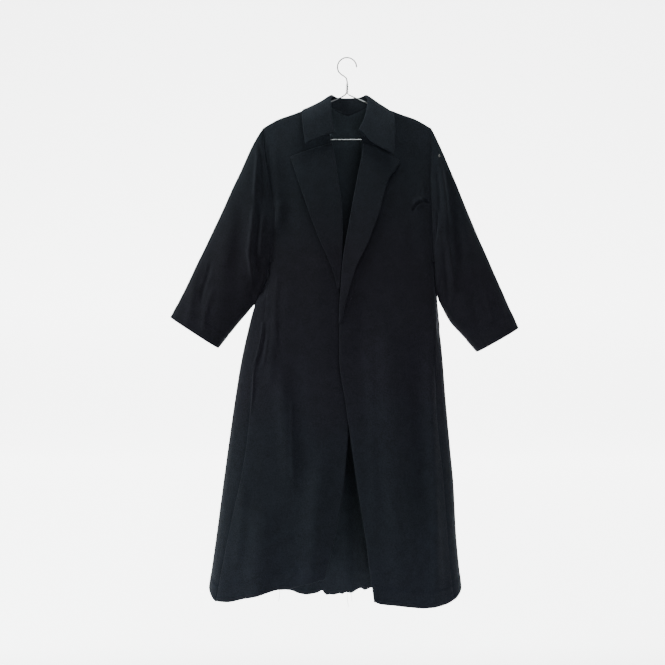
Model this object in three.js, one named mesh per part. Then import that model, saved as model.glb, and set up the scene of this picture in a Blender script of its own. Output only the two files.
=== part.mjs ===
// Open trench coat with turned-back lapels, three-quarter sleeves and an A-line skirt,
// hanging on a wire hanger. Millimetres. +X is the viewer's right, -Y is the coat's front,
// +Z is up, and the origin is the inside top of the hanger's hook.
// In the functions, side is 'left' or 'right' as the viewer sees it.
import * as THREE from 'three';

// ---- driving dimensions -------------------------------------------------------------
const CLOTH = 1.6;              // wall of every cloth piece
const SEAM_GAP = 0.3;           // space left between pieces that are sewn together
const ARMHOLE_EASE = 1.0;       // more of it round the armhole, where both sides are curved
const ARMHOLE_TURN = 1.9;       // the same behind the arm, in degrees of the section
const SECTION_POWER = 3;        // roundness of the body's level sections
const SHOULDER_TOP = -80;       // height where both shoulder lines would meet
const SHOULDER_FALL = 0.458;    // drop of a shoulder line for each millimetre sideways
const SHOULDER_CROWN = 5;       // how far the line rises above that, before the tip
const CROWN_AT = 162;
const CROWN_WIDTH = 32;
const RIDGE_RADIUS = 6;         // rounding of the cloth over the shoulder
const FRONT_FILL = 34;          // distance below the shoulder in which the front fills out
const BACK_FILL = 20;
const NECK_HALF = 66;           // shoulder line's inner end
const TIP_HALF = 196;           // shoulder line's outer end, the sleeve head
const NECK_DIP = 22;            // how far the back neckline hangs in the middle
const UNDERARM = -477;
const SKIRT_TRUE = -1000;       // below this the rows lean towards the hem line
const HEM_LEVEL = -1250;

const LAP_WIDTH = 60;           // strip of each front that bends for the overlap
const LAP_START = -430;
const LAP_EASE = 120;
const LAP_OVER = 4.5;           // how far the upper front lifts, and the lower one sinks
const LAP_UNDER = 3.5;

const SLEEVE_POWER = 2.4;       // roundness of the sleeve's sections
const SLEEVE_JOIN = 0.3;        // share of its length in which it leaves the armhole's shape
const SLEEVE_CROWDING = 1.3;    // over 1 brings the rows closer together at the armhole

const LAPEL_SEATED = CLOTH + SEAM_GAP + 0.15;
const LAPEL_TURNED = 1.6;       // what it stands off more, past the roll
const LAPEL_CROWN = 2.5;

const FACING_THICKNESS = 1;
const FACING_BEHIND = CLOTH + SEAM_GAP + 0.3;
const FACING_HALF = 48;
const FACING_TOP = -136;
const FACING_BOTTOM = -340;

const POCKET_TOP = -622;
const POCKET_BOTTOM = -734;
const POCKET_TURN = 15;         // width of the pocket welt, in degrees of the side
const POCKET_PROUD = CLOTH + SEAM_GAP + 0.2;

const WIRE_RADIUS = 1.5;
const HOOK_RADIUS = 21 + WIRE_RADIUS;
const HOOK_TURN = 215;          // how far round the hook bends, in degrees
const HOOK_STEPS = 14;
const NECK_APEX = -84.1;        // where both wire shoulders would meet
const BAR_LEVEL = -191;
const BAR_HALF = 192;

// Steps along and across each piece.
const GRID = {
  front: { rows: 22, columns: 14 },
  back: { rows: 20, columns: 28 },
  sleeve: { rows: 15, columns: 20 },
  collar: { rows: 22, columns: 9 },
  lapel: { rows: 14, columns: 5 },
  facing: { rows: 10, columns: 8 },
  pocket: { rows: 8, columns: 3 },
};
const RIDGE_ROWS = [0, 1.2, 3.5, 7, 13, 22, 36];

// Level sections of the body: silhouette each side, and how deep front and back bulge.
const BODY = [
  { z: -100, left: -206, right: 206, front: 12, back: 14 },
  { z: -200, left: -204, right: 206, front: 16, back: 13 },
  { z: -300, left: -197, right: 205, front: 20, back: 12 },
  { z: -400, left: -186, right: 203, front: 25, back: 12 },
  { z: -477, left: -182, right: 204, front: 28, back: 12 },
  { z: -520, left: -190, right: 206.5, front: 29, back: 12 },
  { z: -552, left: -204, right: 209, front: 30, back: 12.5 },
  { z: -578, left: -215, right: 210.5, front: 31, back: 13 },
  { z: -712, left: -243.5, right: 219, front: 36, back: 14 },
  { z: -802, left: -258, right: 226, front: 40, back: 15 },
  { z: -907, left: -274, right: 237, front: 45, back: 16 },
  { z: -992, left: -286, right: 245, front: 49, back: 16 },
  { z: -1118, left: -302, right: 252, front: 56, back: 17 },
  { z: -1280, left: -322, right: 267, front: 64, back: 17 },
];

// Inner edge of each front: neckline, roll line down to the break, then the free edge.
const FRONT_EDGE = [
  { z: -110, left: -66, right: 66 },
  { z: -150, left: -57, right: 56 },
  { z: -200, left: -36, right: 35 },
  { z: -242, left: -29, right: 31 },
  { z: -318, left: -18, right: 18 },
  { z: -400, left: -14, right: 5 },
  { z: -470, left: -14, right: -6 },
  { z: -541, left: -17, right: -14 },
  { z: -620, left: -6, right: -18 },
  { z: -700, left: 2, right: -18 },
  { z: -800, left: 4, right: -4 },
  { z: -859, left: 2, right: 4 },
  { z: -981, left: -8, right: 21 },
  { z: -1104, left: -24, right: 40 },
  { z: -1177, left: -37, right: 49 },
  { z: -1260, left: -54, right: 60 },
];

// Outer edge of each front: armhole seam, then the side seam, which lies on the front face.
const FRONT_SIDE = [
  { z: -172, left: -196, right: 196 },
  { z: -230, left: -190, right: 195 },
  { z: -300, left: -178, right: 193 },
  { z: -370, left: -167, right: 195 },
  { z: -440, left: -171, right: 197 },
  { z: -504, left: -178, right: 200 },
  { z: -568, left: -187, right: 203 },
  { z: -632, left: -194, right: 203 },
  { z: -716, left: -207, right: 202 },
  { z: -757, left: -215, right: 202 },
  { z: -818, left: -222, right: 204 },
  { z: -901, left: -231, right: 211 },
  { z: -974, left: -243, right: 219 },
  { z: -1056, left: -261, right: 225 },
  { z: -1168, left: -284, right: 233 },
  { z: -1280, left: -304, right: 246 },
];

// Back edge of each armhole, as the angle on the section: 0 is the side, 90 the middle back.
const ARMHOLE_BACK = [
  { z: -172, angle: 22 },
  { z: -230, angle: 25 },
  { z: -300, angle: 33 },
  { z: -370, angle: 36 },
  { z: -420, angle: 28 },
  { z: -450, angle: 12 },
  { z: -465, angle: -8 },
];

// Hem heights along each panel.
const HEM_FRONT_LEFT = [
  { x: -322, z: -1232 }, { x: -304, z: -1241 }, { x: -273, z: -1245 }, { x: -230, z: -1233 },
  { x: -185, z: -1221 }, { x: -155, z: -1215 }, { x: -125, z: -1214 }, { x: -98, z: -1204 },
  { x: -50, z: -1195 }, { x: 0, z: -1195 },
];
const HEM_FRONT_RIGHT = [
  { x: 0, z: -1236 }, { x: 58, z: -1241 }, { x: 72, z: -1245 }, { x: 110, z: -1250 },
  { x: 140, z: -1253 }, { x: 176, z: -1256 }, { x: 200, z: -1254.5 }, { x: 224, z: -1251 },
  { x: 245, z: -1243 }, { x: 267, z: -1230 },
];
const HEM_BACK = [
  { x: -322, z: -1220 }, { x: -314, z: -1236 }, { x: -304, z: -1242 }, { x: -280, z: -1250 },
  { x: -180, z: -1256 }, { x: -95, z: -1258 }, { x: -53, z: -1248 }, { x: -44, z: -1258 },
  { x: 0, z: -1252 }, { x: 30, z: -1243 }, { x: 56, z: -1242 }, { x: 160, z: -1252 },
  { x: 224, z: -1251 }, { x: 245, z: -1244 }, { x: 258, z: -1234 }, { x: 267, z: -1220 },
];

// Folds: a soft ridge (or a trough, where height is negative) from one place to another.
const FRONT_FOLDS = [
  { name: 'left pocket drag', x0: -170, z0: -640, x1: -178, z1: -780, width: 12, height: 3 },
  { name: 'left ridge', x0: -156, z0: -700, x1: -122, z1: -1010, width: 18, height: 7 },
  { name: 'left trough', x0: -126, z0: -660, x1: -92, z1: -1050, width: 22, height: -6 },
  { name: 'left hem flute', x0: -190, z0: -1010, x1: -205, z1: -1300, width: 30, height: 9 },
  { name: 'left inner roll', x0: -60, z0: -900, x1: -88, z1: -1300, width: 26, height: 8 },
  { name: 'right ridge', x0: 86, z0: -560, x1: 118, z1: -1300, width: 34, height: 9 },
  { name: 'right trough', x0: 150, z0: -620, x1: 172, z1: -1100, width: 24, height: -7 },
  { name: 'right side ridge', x0: 185, z0: -640, x1: 208, z1: -1300, width: 13, height: 7 },
  { name: 'right chest drag', x0: 150, z0: -350, x1: 182, z1: -338, width: 9, height: 4 },
  { name: 'left chest drag', x0: -150, z0: -330, x1: -172, z1: -420, width: 12, height: 4 },
];
const BACK_FOLDS = [
  { name: 'left flute', x0: -150, z0: -560, x1: -200, z1: -1300, width: 34, height: 9 },
  { name: 'inner left flute', x0: -46, z0: -760, x1: -84, z1: -1300, width: 17, height: 9 },
  { name: 'middle left flute', x0: -16, z0: -820, x1: -34, z1: -1300, width: 11, height: -8 },
  { name: 'middle flute', x0: 6, z0: -860, x1: 12, z1: -1300, width: 11, height: 8 },
  { name: 'middle right flute', x0: 30, z0: -800, x1: 50, z1: -1300, width: 13, height: -8 },
  { name: 'right flute', x0: 110, z0: -600, x1: 150, z1: -1300, width: 32, height: 9 },
  { name: 'left shoulder drag', x0: -150, z0: -210, x1: -130, z1: -520, width: 24, height: 4 },
  { name: 'right shoulder drag', x0: 150, z0: -210, x1: 135, z1: -500, width: 24, height: 4 },
];

// Sleeve sections: outer silhouette point, inner silhouette point, and depth each way.
const SLEEVE_LEFT = [
  { t: 0, ox: -199, oz: -173, ix: -194, iz: -482, front: 24, back: 12 },
  { t: 0.15, ox: -222, oz: -214, ix: -193, iz: -516, front: 26, back: 13 },
  { t: 0.3, ox: -246, oz: -268, ix: -206, iz: -552, front: 26, back: 14 },
  { t: 0.4, ox: -266, oz: -311, ix: -215.8, iz: -575, front: 25, back: 14 },
  { t: 0.5, ox: -286, oz: -355, ix: -227, iz: -589, front: 24, back: 14 },
  { t: 0.7, ox: -330, oz: -446, ix: -246, iz: -611, front: 22, back: 13 },
  { t: 0.85, ox: -366, oz: -522, ix: -272, iz: -643, front: 20, back: 12 },
  { t: 1, ox: -406, oz: -605, ix: -301, iz: -678, front: 18, back: 12 },
];
const SLEEVE_RIGHT = [
  { t: 0, ox: 199, oz: -173, ix: 213, iz: -481, front: 24, back: 12 },
  { t: 0.15, ox: 222, oz: -229, ix: 210, iz: -520, front: 26, back: 13 },
  { t: 0.3, ox: 245, oz: -280, ix: 211, iz: -552, front: 26, back: 14 },
  { t: 0.5, ox: 284, oz: -366, ix: 226, iz: -590, front: 24, back: 14 },
  { t: 0.7, ox: 326, oz: -461, ix: 243, iz: -620, front: 22, back: 13 },
  { t: 0.85, ox: 360, oz: -540, ix: 272, iz: -652, front: 20, back: 12 },
  { t: 1, ox: 396, oz: -631, ix: 303, iz: -687, front: 18, back: 12 },
];

// Sleeve folds run down the sleeve; turn is 0 at the outer edge, 0.25 front, 0.5 inner edge.
const SLEEVE_FOLDS = [
  { name: 'head ridge', turn0: 0.1, t0: 0.0, turn1: 0.2, t1: 0.5, width: 0.035, height: 6 },
  { name: 'head valley', turn0: 0.17, t0: 0.02, turn1: 0.27, t1: 0.6, width: 0.035, height: -6 },
  { name: 'front ridge', turn0: 0.27, t0: 0.05, turn1: 0.35, t1: 0.75, width: 0.035, height: 6 },
  { name: 'elbow crease', turn0: 0.24, t0: 0.62, turn1: 0.3, t1: 1.0, width: 0.04, height: -4 },
  { name: 'back ridge', turn0: 0.8, t0: 0.05, turn1: 0.72, t1: 0.8, width: 0.05, height: 5 },
];

// Collar stations round the neck, from the left front end to the middle back and on:
// where the stand is sewn to the neck, the top of the fold, and the leaf's outer edge.
const COLLAR = [
  { nx: -38, ny: -22, nz: -192, fx: -30, fy: -31, fz: -186, ex: -95, ey: -38, ez: -214 },
  { nx: -50, ny: -15, nz: -158, fx: -38, fy: -25, fz: -137, ex: -102, ey: -32, ez: -162 },
  { nx: -61, ny: -4, nz: -106, fx: -39, fy: -11, fz: -104, ex: -104, ey: -15, ez: -132 },
  { nx: -55, ny: 6, nz: -108, fx: -34, fy: 5, fz: -88, ex: -98, ey: 5, ez: -117 },
  { nx: -26, ny: 12, nz: -120.6, fx: -18, fy: 17, fz: -92, ex: -66, ey: 24, ez: -142 },
  { nx: 2, ny: 13, nz: -129.7, fx: 3, fy: 20, fz: -93, ex: 3, ey: 26, ez: -162 },
  { nx: 30, ny: 12, nz: -119.6, fx: 26, fy: 17, fz: -92, ex: 72, ey: 24, ez: -142 },
  { nx: 58, ny: 6, nz: -108, fx: 43, fy: 5, fz: -87, ex: 108, ey: 5, ez: -121 },
  { nx: 63, ny: -4, nz: -107, fx: 49, fy: -11, fz: -106, ex: 112, ey: -15, ez: -136 },
  { nx: 53, ny: -15, nz: -158, fx: 42, fy: -25, fz: -146, ex: 110, ey: -32, ez: -180 },
  { nx: 40, ny: -22, nz: -192, fx: 27, fy: -31, fz: -180, ex: 103, ey: -38, ez: -236 },
];

// Lapels: along the roll line from the gorge to the break, and along the outer edge.
const LAPEL_LEFT = [
  { v: 0, roll: -36, rollZ: -205, edge: -131, edgeZ: -236 },
  { v: 0.2, roll: -25, rollZ: -272, edge: -113, edgeZ: -290 },
  { v: 0.45, roll: -14.5, rollZ: -356, edge: -87, edgeZ: -366 },
  { v: 0.65, roll: -13, rollZ: -420, edge: -65, edgeZ: -424 },
  { v: 0.88, roll: -16, rollZ: -500, edge: -32, edgeZ: -502 },
  { v: 1, roll: -17, rollZ: -540, edge: -22, edgeZ: -541 },
];
const LAPEL_RIGHT = [
  { v: 0, roll: 42, rollZ: -206, edge: 124, edgeZ: -247 },
  { v: 0.08, roll: 34, rollZ: -232, edge: 110, edgeZ: -268 },
  { v: 0.16, roll: 27, rollZ: -264, edge: 94.5, edgeZ: -290 },
  { v: 0.4, roll: 7, rollZ: -382, edge: 74, edgeZ: -362 },
  { v: 0.6, roll: -9, rollZ: -478, edge: 47.5, edgeZ: -436 },
  { v: 0.72, roll: -12.5, rollZ: -524, edge: 22, edgeZ: -488 },
  { v: 0.85, roll: -16, rollZ: -575, edge: 0, edgeZ: -560 },
  { v: 1, roll: -18, rollZ: -620, edge: -13, edgeZ: -616 },
];

// Half of the hanger's wire outside the hook: along a shoulder, round its end, along the bar.
const WIRE_SHOULDER = [60, 120, 180];
const WIRE_END = [
  { x: BAR_HALF, up: 17 },
  { x: BAR_HALF + 4, up: 9.5 },
  { x: BAR_HALF, up: 1.5 },
  { x: BAR_HALF - 10, up: 0 },
  { x: 90, up: 0 },
];

// ---- tables and folds ---------------------------------------------------------------
// Value of one column where the key column has the given value: a smooth curve through
// the rows that never overshoots them.
function column(rows, key, name, at) {
  const last = rows.length - 1;
  let i = 0;
  const up = rows[last][key] > rows[0][key] ? 1 : -1;
  while (i < last - 1 && (at - rows[i + 1][key]) * up > 0) i += 1;
  const step = (k) => (rows[k + 1][name] - rows[k][name]) / (rows[k + 1][key] - rows[k][key]);
  const slope = (k) => {
    if (k === 0) return step(0);
    if (k === last) return step(last - 1);
    const before = step(k - 1);
    const after = step(k);
    return before * after <= 0 ? 0 : (2 * before * after) / (before + after);
  };
  const span = rows[i + 1][key] - rows[i][key];
  const s = Math.min(1, Math.max(0, (at - rows[i][key]) / span));
  const a = (1 + 2 * s) * (1 - s) * (1 - s) * rows[i][name];
  const b = s * (1 - s) * (1 - s) * span * slope(i);
  const c = s * s * (3 - 2 * s) * rows[i + 1][name];
  const d = s * s * (s - 1) * span * slope(i + 1);
  return a + b + c + d;
}

const bell = (s) => Math.exp(-s * s);

const smooth = (s) => {
  const c = Math.min(1, Math.max(0, s));
  return c * c * (3 - 2 * c);
};

// Height of all folds at a place: each is a bell across its line and eases in at both ends.
function foldHeight(folds, x, z) {
  let height = 0;
  for (const fold of folds) {
    const along = (z - fold.z0) / (fold.z1 - fold.z0);
    const middle = fold.x0 + (fold.x1 - fold.x0) * along;
    const ease = smooth(along * 3) * smooth((1 - along) * 4);
    height += fold.height * ease * bell((x - middle) / fold.width);
  }
  return height;
}

function shoulderLine(x) {
  const crown = SHOULDER_CROWN * bell((Math.abs(x) - CROWN_AT) / CROWN_WIDTH);
  return SHOULDER_TOP - SHOULDER_FALL * Math.abs(x) + crown;
}

// How much of its depth a panel has reached at a distance below the shoulder line.
function fillOut(below, depth, fill) {
  const round = Math.min(1, Math.max(0, below / RIDGE_RADIUS));
  const ridge = RIDGE_RADIUS * Math.sqrt(1 - (1 - round) * (1 - round));
  const rest = (depth - RIDGE_RADIUS) * (1 - Math.exp(-Math.max(0, below) / fill));
  return SEAM_GAP / 2 + ridge + rest;
}

// ---- the body's two faces -----------------------------------------------------------
function section(z) {
  const left = column(BODY, 'z', 'left', z);
  const right = column(BODY, 'z', 'right', z);
  return {
    middle: (left + right) / 2,
    half: (right - left) / 2,
    front: column(BODY, 'z', 'front', z),
    back: column(BODY, 'z', 'back', z),
  };
}

function roundness(across) {
  const reach = Math.min(0.9995, Math.abs(across));
  return (1 - reach ** SECTION_POWER) ** (1 / SECTION_POWER);
}

// Outer face of a front at a place; the right front laps over the left one.
function frontFace(side, x, z) {
  const cut = section(z);
  const edge = column(FRONT_EDGE, 'z', side, z);
  const inward = (side === 'right' ? x - edge : edge - x) / LAP_WIDTH;
  const near = smooth(1 - inward) * smooth((LAP_START - z) / LAP_EASE);
  const lap = side === 'right' ? LAP_OVER * near : -LAP_UNDER * near;
  const across = (x - cut.middle) / cut.half;
  const depth = fillOut(shoulderLine(x) - z, cut.front, FRONT_FILL) * roundness(across);
  const folds = foldHeight(FRONT_FOLDS, x, z);
  return new THREE.Vector3(x, -(depth + folds + lap), z);
}

// Outer face of the back, by the angle round the section: 0 at the left side, 90 in the
// middle, 180 at the right side, and past both on the front face.
function backFace(angle, z) {
  const cut = section(z);
  const turn = THREE.MathUtils.degToRad(angle);
  const power = 2 / SECTION_POWER;
  const cos = Math.cos(turn);
  const sin = Math.sin(turn);
  const x = cut.middle - cut.half * Math.sign(cos) * Math.abs(cos) ** power;
  const bulge = Math.abs(sin) ** power;
  if (sin < 0) return frontFace(cos > 0 ? 'left' : 'right', x, z);
  const depth = fillOut(shoulderLine(x) - z, cut.back, BACK_FILL) * bulge;
  return new THREE.Vector3(x, depth + foldHeight(BACK_FOLDS, x, z) * bulge, z);
}

// The same by the angle from either side.
function bodyFace(side, angle, z) {
  return backFace(side === 'right' ? 180 - angle : angle, z);
}

// Angle on the section of a place on the front face, for the seam that the back reaches.
function seamAngle(side, z) {
  const cut = section(z);
  const across = Math.abs(column(FRONT_SIDE, 'z', side, z) - cut.middle) / cut.half;
  const turn = Math.acos(Math.min(1, across) ** (SECTION_POWER / 2));
  return -THREE.MathUtils.radToDeg(turn);
}

// The seam gap as an angle of the section.
function seamClearance(side, z) {
  const angle = seamAngle(side, z);
  return SEAM_GAP / bodyFace(side, angle, z).distanceTo(bodyFace(side, angle + 1, z));
}

// The back's edge on one side: the armhole, then the side seam, as an angle.
function backEdge(side, z) {
  const seam = seamAngle(side, Math.min(z, UNDERARM));
  if (z <= UNDERARM) return seam + seamClearance(side, z);
  const rows = [...ARMHOLE_BACK, { z: UNDERARM, angle: seam + seamClearance(side, UNDERARM) }];
  return column(rows, 'z', 'angle', z);
}

// ---- walls from grids of points -----------------------------------------------------
function gridNormals(grid, closed) {
  const rows = grid.length;
  const columns = grid[0].length;
  return grid.map((row, r) => row.map((point, c) => {
    const up = grid[Math.max(0, r - 1)][c];
    const down = grid[Math.min(rows - 1, r + 1)][c];
    const before = closed ? row[(c + columns - 1) % columns] : row[Math.max(0, c - 1)];
    const after = closed ? row[(c + 1) % columns] : row[Math.min(columns - 1, c + 1)];
    const along = new THREE.Vector3().subVectors(down, up);
    const across = new THREE.Vector3().subVectors(after, before);
    return new THREE.Vector3().crossVectors(along, across).normalize();
  }));
}

// Normal of a face that is given as a function of two numbers.
function faceNormal(face, a, b, stepA) {
  const across = face(a + stepA, b).sub(face(a - stepA, b));
  const down = face(a, b - 1).sub(face(a, b + 1));
  return new THREE.Vector3().crossVectors(down, across).normalize();
}

// Along the shoulder seam both walls end on the plane between them.
function squareTop(normals, grid) {
  normals[0].forEach((normal, c) => {
    if (Math.abs(grid[0][c].x) > NECK_HALF - 1) normal.setY(0).normalize();
  });
  return normals;
}

// A closed wall: the grid is its outer face, and the inner face lies a thickness behind.
// inward is 1 or -1, the sign that turns the grid's own normal to the inside.
function wall(grid, inward, options = {}) {
  const { closed = false, thickness = CLOTH, normals = gridNormals(grid, closed) } = options;
  const rows = grid.length;
  const columns = grid[0].length;
  const inner = grid.map((row, r) => row.map((point, c) => (
    point.clone().addScaledVector(normals[r][c], inward * thickness)
  )));
  const positions = [...grid.flat(), ...inner.flat()].flatMap((point) => point.toArray());

  const index = [];
  const quad = (a, b, c, d) => index.push(a, b, c, a, c, d);
  const outerAt = (r, c) => r * columns + (c % columns);
  const innerAt = (r, c) => rows * columns + outerAt(r, c);
  const across = closed ? columns : columns - 1;
  const bottom = rows - 1;
  for (let r = 0; r < bottom; r += 1) {
    for (let c = 0; c < across; c += 1) {
      quad(outerAt(r, c), outerAt(r, c + 1), outerAt(r + 1, c + 1), outerAt(r + 1, c));
      quad(innerAt(r, c), innerAt(r + 1, c), innerAt(r + 1, c + 1), innerAt(r, c + 1));
    }
  }
  for (let c = 0; c < across; c += 1) {
    quad(outerAt(0, c), innerAt(0, c), innerAt(0, c + 1), outerAt(0, c + 1));
    quad(outerAt(bottom, c), outerAt(bottom, c + 1), innerAt(bottom, c + 1), innerAt(bottom, c));
  }
  for (let r = 0; r < bottom && !closed; r += 1) {
    quad(outerAt(r, 0), outerAt(r + 1, 0), innerAt(r + 1, 0), innerAt(r, 0));
    quad(outerAt(r, across), innerAt(r, across), innerAt(r + 1, across), outerAt(r + 1, across));
  }
  return solid(positions, index);
}

// Geometry with its faces turned outwards.
function solid(positions, index) {
  const point = (i) => new THREE.Vector3().fromArray(positions, i * 3);
  let volume = 0;
  for (let i = 0; i < index.length; i += 3) {
    volume += point(index[i]).dot(point(index[i + 1]).cross(point(index[i + 2])));
  }
  for (let i = 0; i < index.length && volume < 0; i += 3) {
    [index[i + 1], index[i + 2]] = [index[i + 2], index[i + 1]];
  }
  const geometry = new THREE.BufferGeometry();
  geometry.setAttribute('position', new THREE.Float32BufferAttribute(positions, 3));
  geometry.setIndex(index);
  geometry.computeVertexNormals();
  return geometry;
}

const steps = (count) => Array.from({ length: count + 1 }, (_, i) => i / count);

// Row heights from the shoulder to the hem, close together over the shoulder's ridge.
function rowLevels(rows, top) {
  const first = top - RIDGE_ROWS[RIDGE_ROWS.length - 1];
  const even = steps(rows).slice(1).map((s) => first + (HEM_LEVEL - first) * s);
  return [...RIDGE_ROWS.map((drop) => top - drop), ...even];
}

// Rows start along the slanted shoulder, are level from the underarm down, and end
// along the hem.
function leaning(level, innerTop, top) {
  if (level <= UNDERARM) return level;
  const down = (innerTop - level) / (innerTop - UNDERARM);
  return top + (UNDERARM - top) * down;
}

function shownLevel(level, hem, x) {
  if (level > SKIRT_TRUE) return level;
  const drop = (level - SKIRT_TRUE) / (HEM_LEVEL - SKIRT_TRUE);
  return SKIRT_TRUE + drop * (column(hem, 'x', 'z', x) - SKIRT_TRUE);
}

// ---- cloth pieces -------------------------------------------------------------------
function frontPanel(side, hem) {
  const sign = side === 'right' ? 1 : -1;
  const innerTop = shoulderLine(NECK_HALF);
  const outerTop = shoulderLine(TIP_HALF);
  const sideAt = (z) => column(FRONT_SIDE, 'z', side, z);
  const grid = rowLevels(GRID.front.rows, innerTop).map((level) => {
    const inner = column(FRONT_EDGE, 'z', side, level);
    const outerZ = leaning(level, innerTop, outerTop);
    const outer = sideAt(shownLevel(outerZ, hem, sideAt(outerZ))) - sign * SEAM_GAP;
    return steps(GRID.front.columns).map((share) => {
      const x = inner + (outer - inner) * share;
      const top = shoulderLine(NECK_HALF + (TIP_HALF - NECK_HALF) * share);
      return frontFace(side, x, shownLevel(leaning(level, innerTop, top), hem, x));
    });
  });
  const face = (x, z) => frontFace(side, x, z);
  const normals = grid.map((row) => row.map((p) => faceNormal(face, p.x, p.z, 1)));
  return wall(grid, -1, { normals: squareTop(normals, grid) });
}

function backPanel() {
  const neckTop = shoulderLine(NECK_HALF);
  const tipTop = shoulderLine(TIP_HALF);
  const edgeAngle = (side, z) => {
    const x = column(FRONT_SIDE, 'z', side, z);
    return backEdge(side, shownLevel(z, HEM_BACK, x));
  };
  const places = rowLevels(GRID.back.rows, neckTop).map((level) => {
    const outerZ = leaning(level, neckTop, tipTop);
    const first = edgeAngle('left', outerZ);
    const last = 180 - edgeAngle('right', outerZ);
    return steps(GRID.back.columns).map((share) => {
      const angle = first + (last - first) * share;
      const { x } = backFace(angle, level);
      const top = shoulderLine(Math.min(TIP_HALF, Math.max(NECK_HALF, Math.abs(x))));
      const neckline = smooth(1 - Math.abs(x) / NECK_HALF) * smooth((level + 300) / 190);
      const z = leaning(level, neckTop, top) - NECK_DIP * neckline;
      return { angle, z: shownLevel(z, HEM_BACK, x) };
    });
  });
  const grid = places.map((row) => row.map((p) => backFace(p.angle, p.z)));
  const normals = places.map((row) => row.map((p) => faceNormal(backFace, p.angle, p.z, 0.4)));
  return wall(grid, 1, { normals: squareTop(normals, grid) });
}

// The armhole that both panels leave, as a loop of points: turn 0 is the shoulder tip,
// 0.25 the front, 0.5 the underarm and 0.75 the back.
function armholePoint(side, turn) {
  const sign = side === 'right' ? 1 : -1;
  const top = shoulderLine(TIP_HALF);
  const z = top + (UNDERARM - top) * ((1 - Math.cos(turn * 2 * Math.PI)) / 2);
  if (turn <= 0.5) {
    return frontFace(side, column(FRONT_SIDE, 'z', side, z) + sign * ARMHOLE_EASE, z);
  }
  return bodyFace(side, backEdge(side, z) - ARMHOLE_TURN, z);
}

function sleeveFold(turn, t) {
  let height = 0;
  for (const fold of SLEEVE_FOLDS) {
    const along = (t - fold.t0) / (fold.t1 - fold.t0);
    const middle = fold.turn0 + (fold.turn1 - fold.turn0) * along;
    const ease = smooth(along * 3) * smooth((1 - along) * 3);
    height += fold.height * ease * bell((turn - middle) / fold.width);
  }
  return height;
}

function sleevePoint(side, rows, turn, t) {
  const at = (name) => column(rows, 't', name, t);
  const cos = Math.cos(turn * 2 * Math.PI);
  const sin = Math.sin(turn * 2 * Math.PI);
  const reach = Math.sign(cos) * Math.abs(cos) ** (2 / SLEEVE_POWER);
  const bulge = Math.sign(sin) * Math.abs(sin) ** (2 / SLEEVE_POWER);
  const x = (at('ox') + at('ix')) / 2 + ((at('ox') - at('ix')) / 2) * reach;
  const z = (at('oz') + at('iz')) / 2 + ((at('oz') - at('iz')) / 2) * reach;
  const depth = (sin >= 0 ? at('front') : at('back')) + sleeveFold(turn, t);
  const hung = new THREE.Vector3(x, -depth * bulge, z);
  const joined = 1 - Math.min(1, t / SLEEVE_JOIN);
  return armholePoint(side, turn).lerp(hung, 1 - joined ** 3);
}

function sleeve(side, rows) {
  const turns = steps(GRID.sleeve.columns).slice(0, -1);
  const grid = steps(GRID.sleeve.rows).map((s) => (
    turns.map((turn) => sleevePoint(side, rows, turn, s ** SLEEVE_CROWDING))
  ));
  return wall(grid, side === 'right' ? 1 : -1, { closed: true });
}

// The collar is one wall over the fold: stand inside, leaf outside.
function collar() {
  const stations = COLLAR.map((row, i) => ({ ...row, s: i / (COLLAR.length - 1) }));
  const grid = steps(GRID.collar.rows).map((s) => {
    const at = (name) => column(stations, 's', name, s);
    const point = (letter) => new THREE.Vector3(at(`${letter}x`), at(`${letter}y`), at(`${letter}z`));
    const neck = point('n');
    const fold = point('f');
    const edge = point('e');
    const line = new THREE.CatmullRomCurve3([
      neck,
      neck.clone().lerp(fold, 0.72),
      fold,
      fold.clone().lerp(edge, 0.16).add(new THREE.Vector3(0, 0, 1.5)),
      fold.clone().lerp(edge, 0.6).add(new THREE.Vector3(0, 0, 2)),
      edge,
    ], false, 'centripetal');
    return steps(GRID.collar.columns).map((u) => line.getPoint(u));
  });
  return wall(grid, 1);
}

// A sheet that lies on a front, turned back from the roll line.
function lapel(side, rows) {
  const grid = steps(GRID.lapel.rows).map((v) => steps(GRID.lapel.columns).map((u) => {
    const at = (name) => column(rows, 'v', name, v);
    const x = at('roll') + (at('edge') - at('roll')) * u;
    const z = at('rollZ') + (at('edgeZ') - at('rollZ')) * u;
    const crown = LAPEL_CROWN * Math.sin(Math.PI * u) * (1 - v);
    const point = frontFace(side, x, z);
    point.y -= LAPEL_SEATED + LAPEL_TURNED * smooth(u * 2) + crown;
    return point;
  }));
  return wall(grid, side === 'right' ? -1 : 1);
}

// Back facing: a shaped piece inside the neck, just in front of the back panel.
function backFacing() {
  const grid = steps(GRID.facing.rows).map((v) => steps(GRID.facing.columns).map((u) => {
    const x = -FACING_HALF + 2 * FACING_HALF * u;
    const z = FACING_TOP + (FACING_BOTTOM - FACING_TOP) * v;
    const cut = section(z);
    const round = roundness((x - cut.middle) / cut.half);
    const depth = fillOut(shoulderLine(x) - z, cut.back, BACK_FILL) * round;
    return new THREE.Vector3(x, depth + foldHeight(BACK_FOLDS, x, z) - FACING_BEHIND, z);
  }));
  return wall(grid, 1, { thickness: FACING_THICKNESS });
}

// Pocket welt: a narrow strip on the back panel along the pocket mouth in the side seam.
function pocketWelt(side) {
  const grid = steps(GRID.pocket.rows).map((v) => steps(GRID.pocket.columns).map((u) => {
    const z = POCKET_TOP + (POCKET_BOTTOM - POCKET_TOP) * v;
    const angle = backEdge(side, z) + 1 + POCKET_TURN * u;
    const point = bodyFace(side, angle, z);
    const along = bodyFace(side, angle + 1, z).sub(point);
    const out = new THREE.Vector3(-along.y, along.x, 0).normalize();
    return point.addScaledVector(out, out.y > 0 ? -POCKET_PROUD : POCKET_PROUD);
  }));
  return wall(grid, side === 'right' ? -1 : 1);
}

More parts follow.
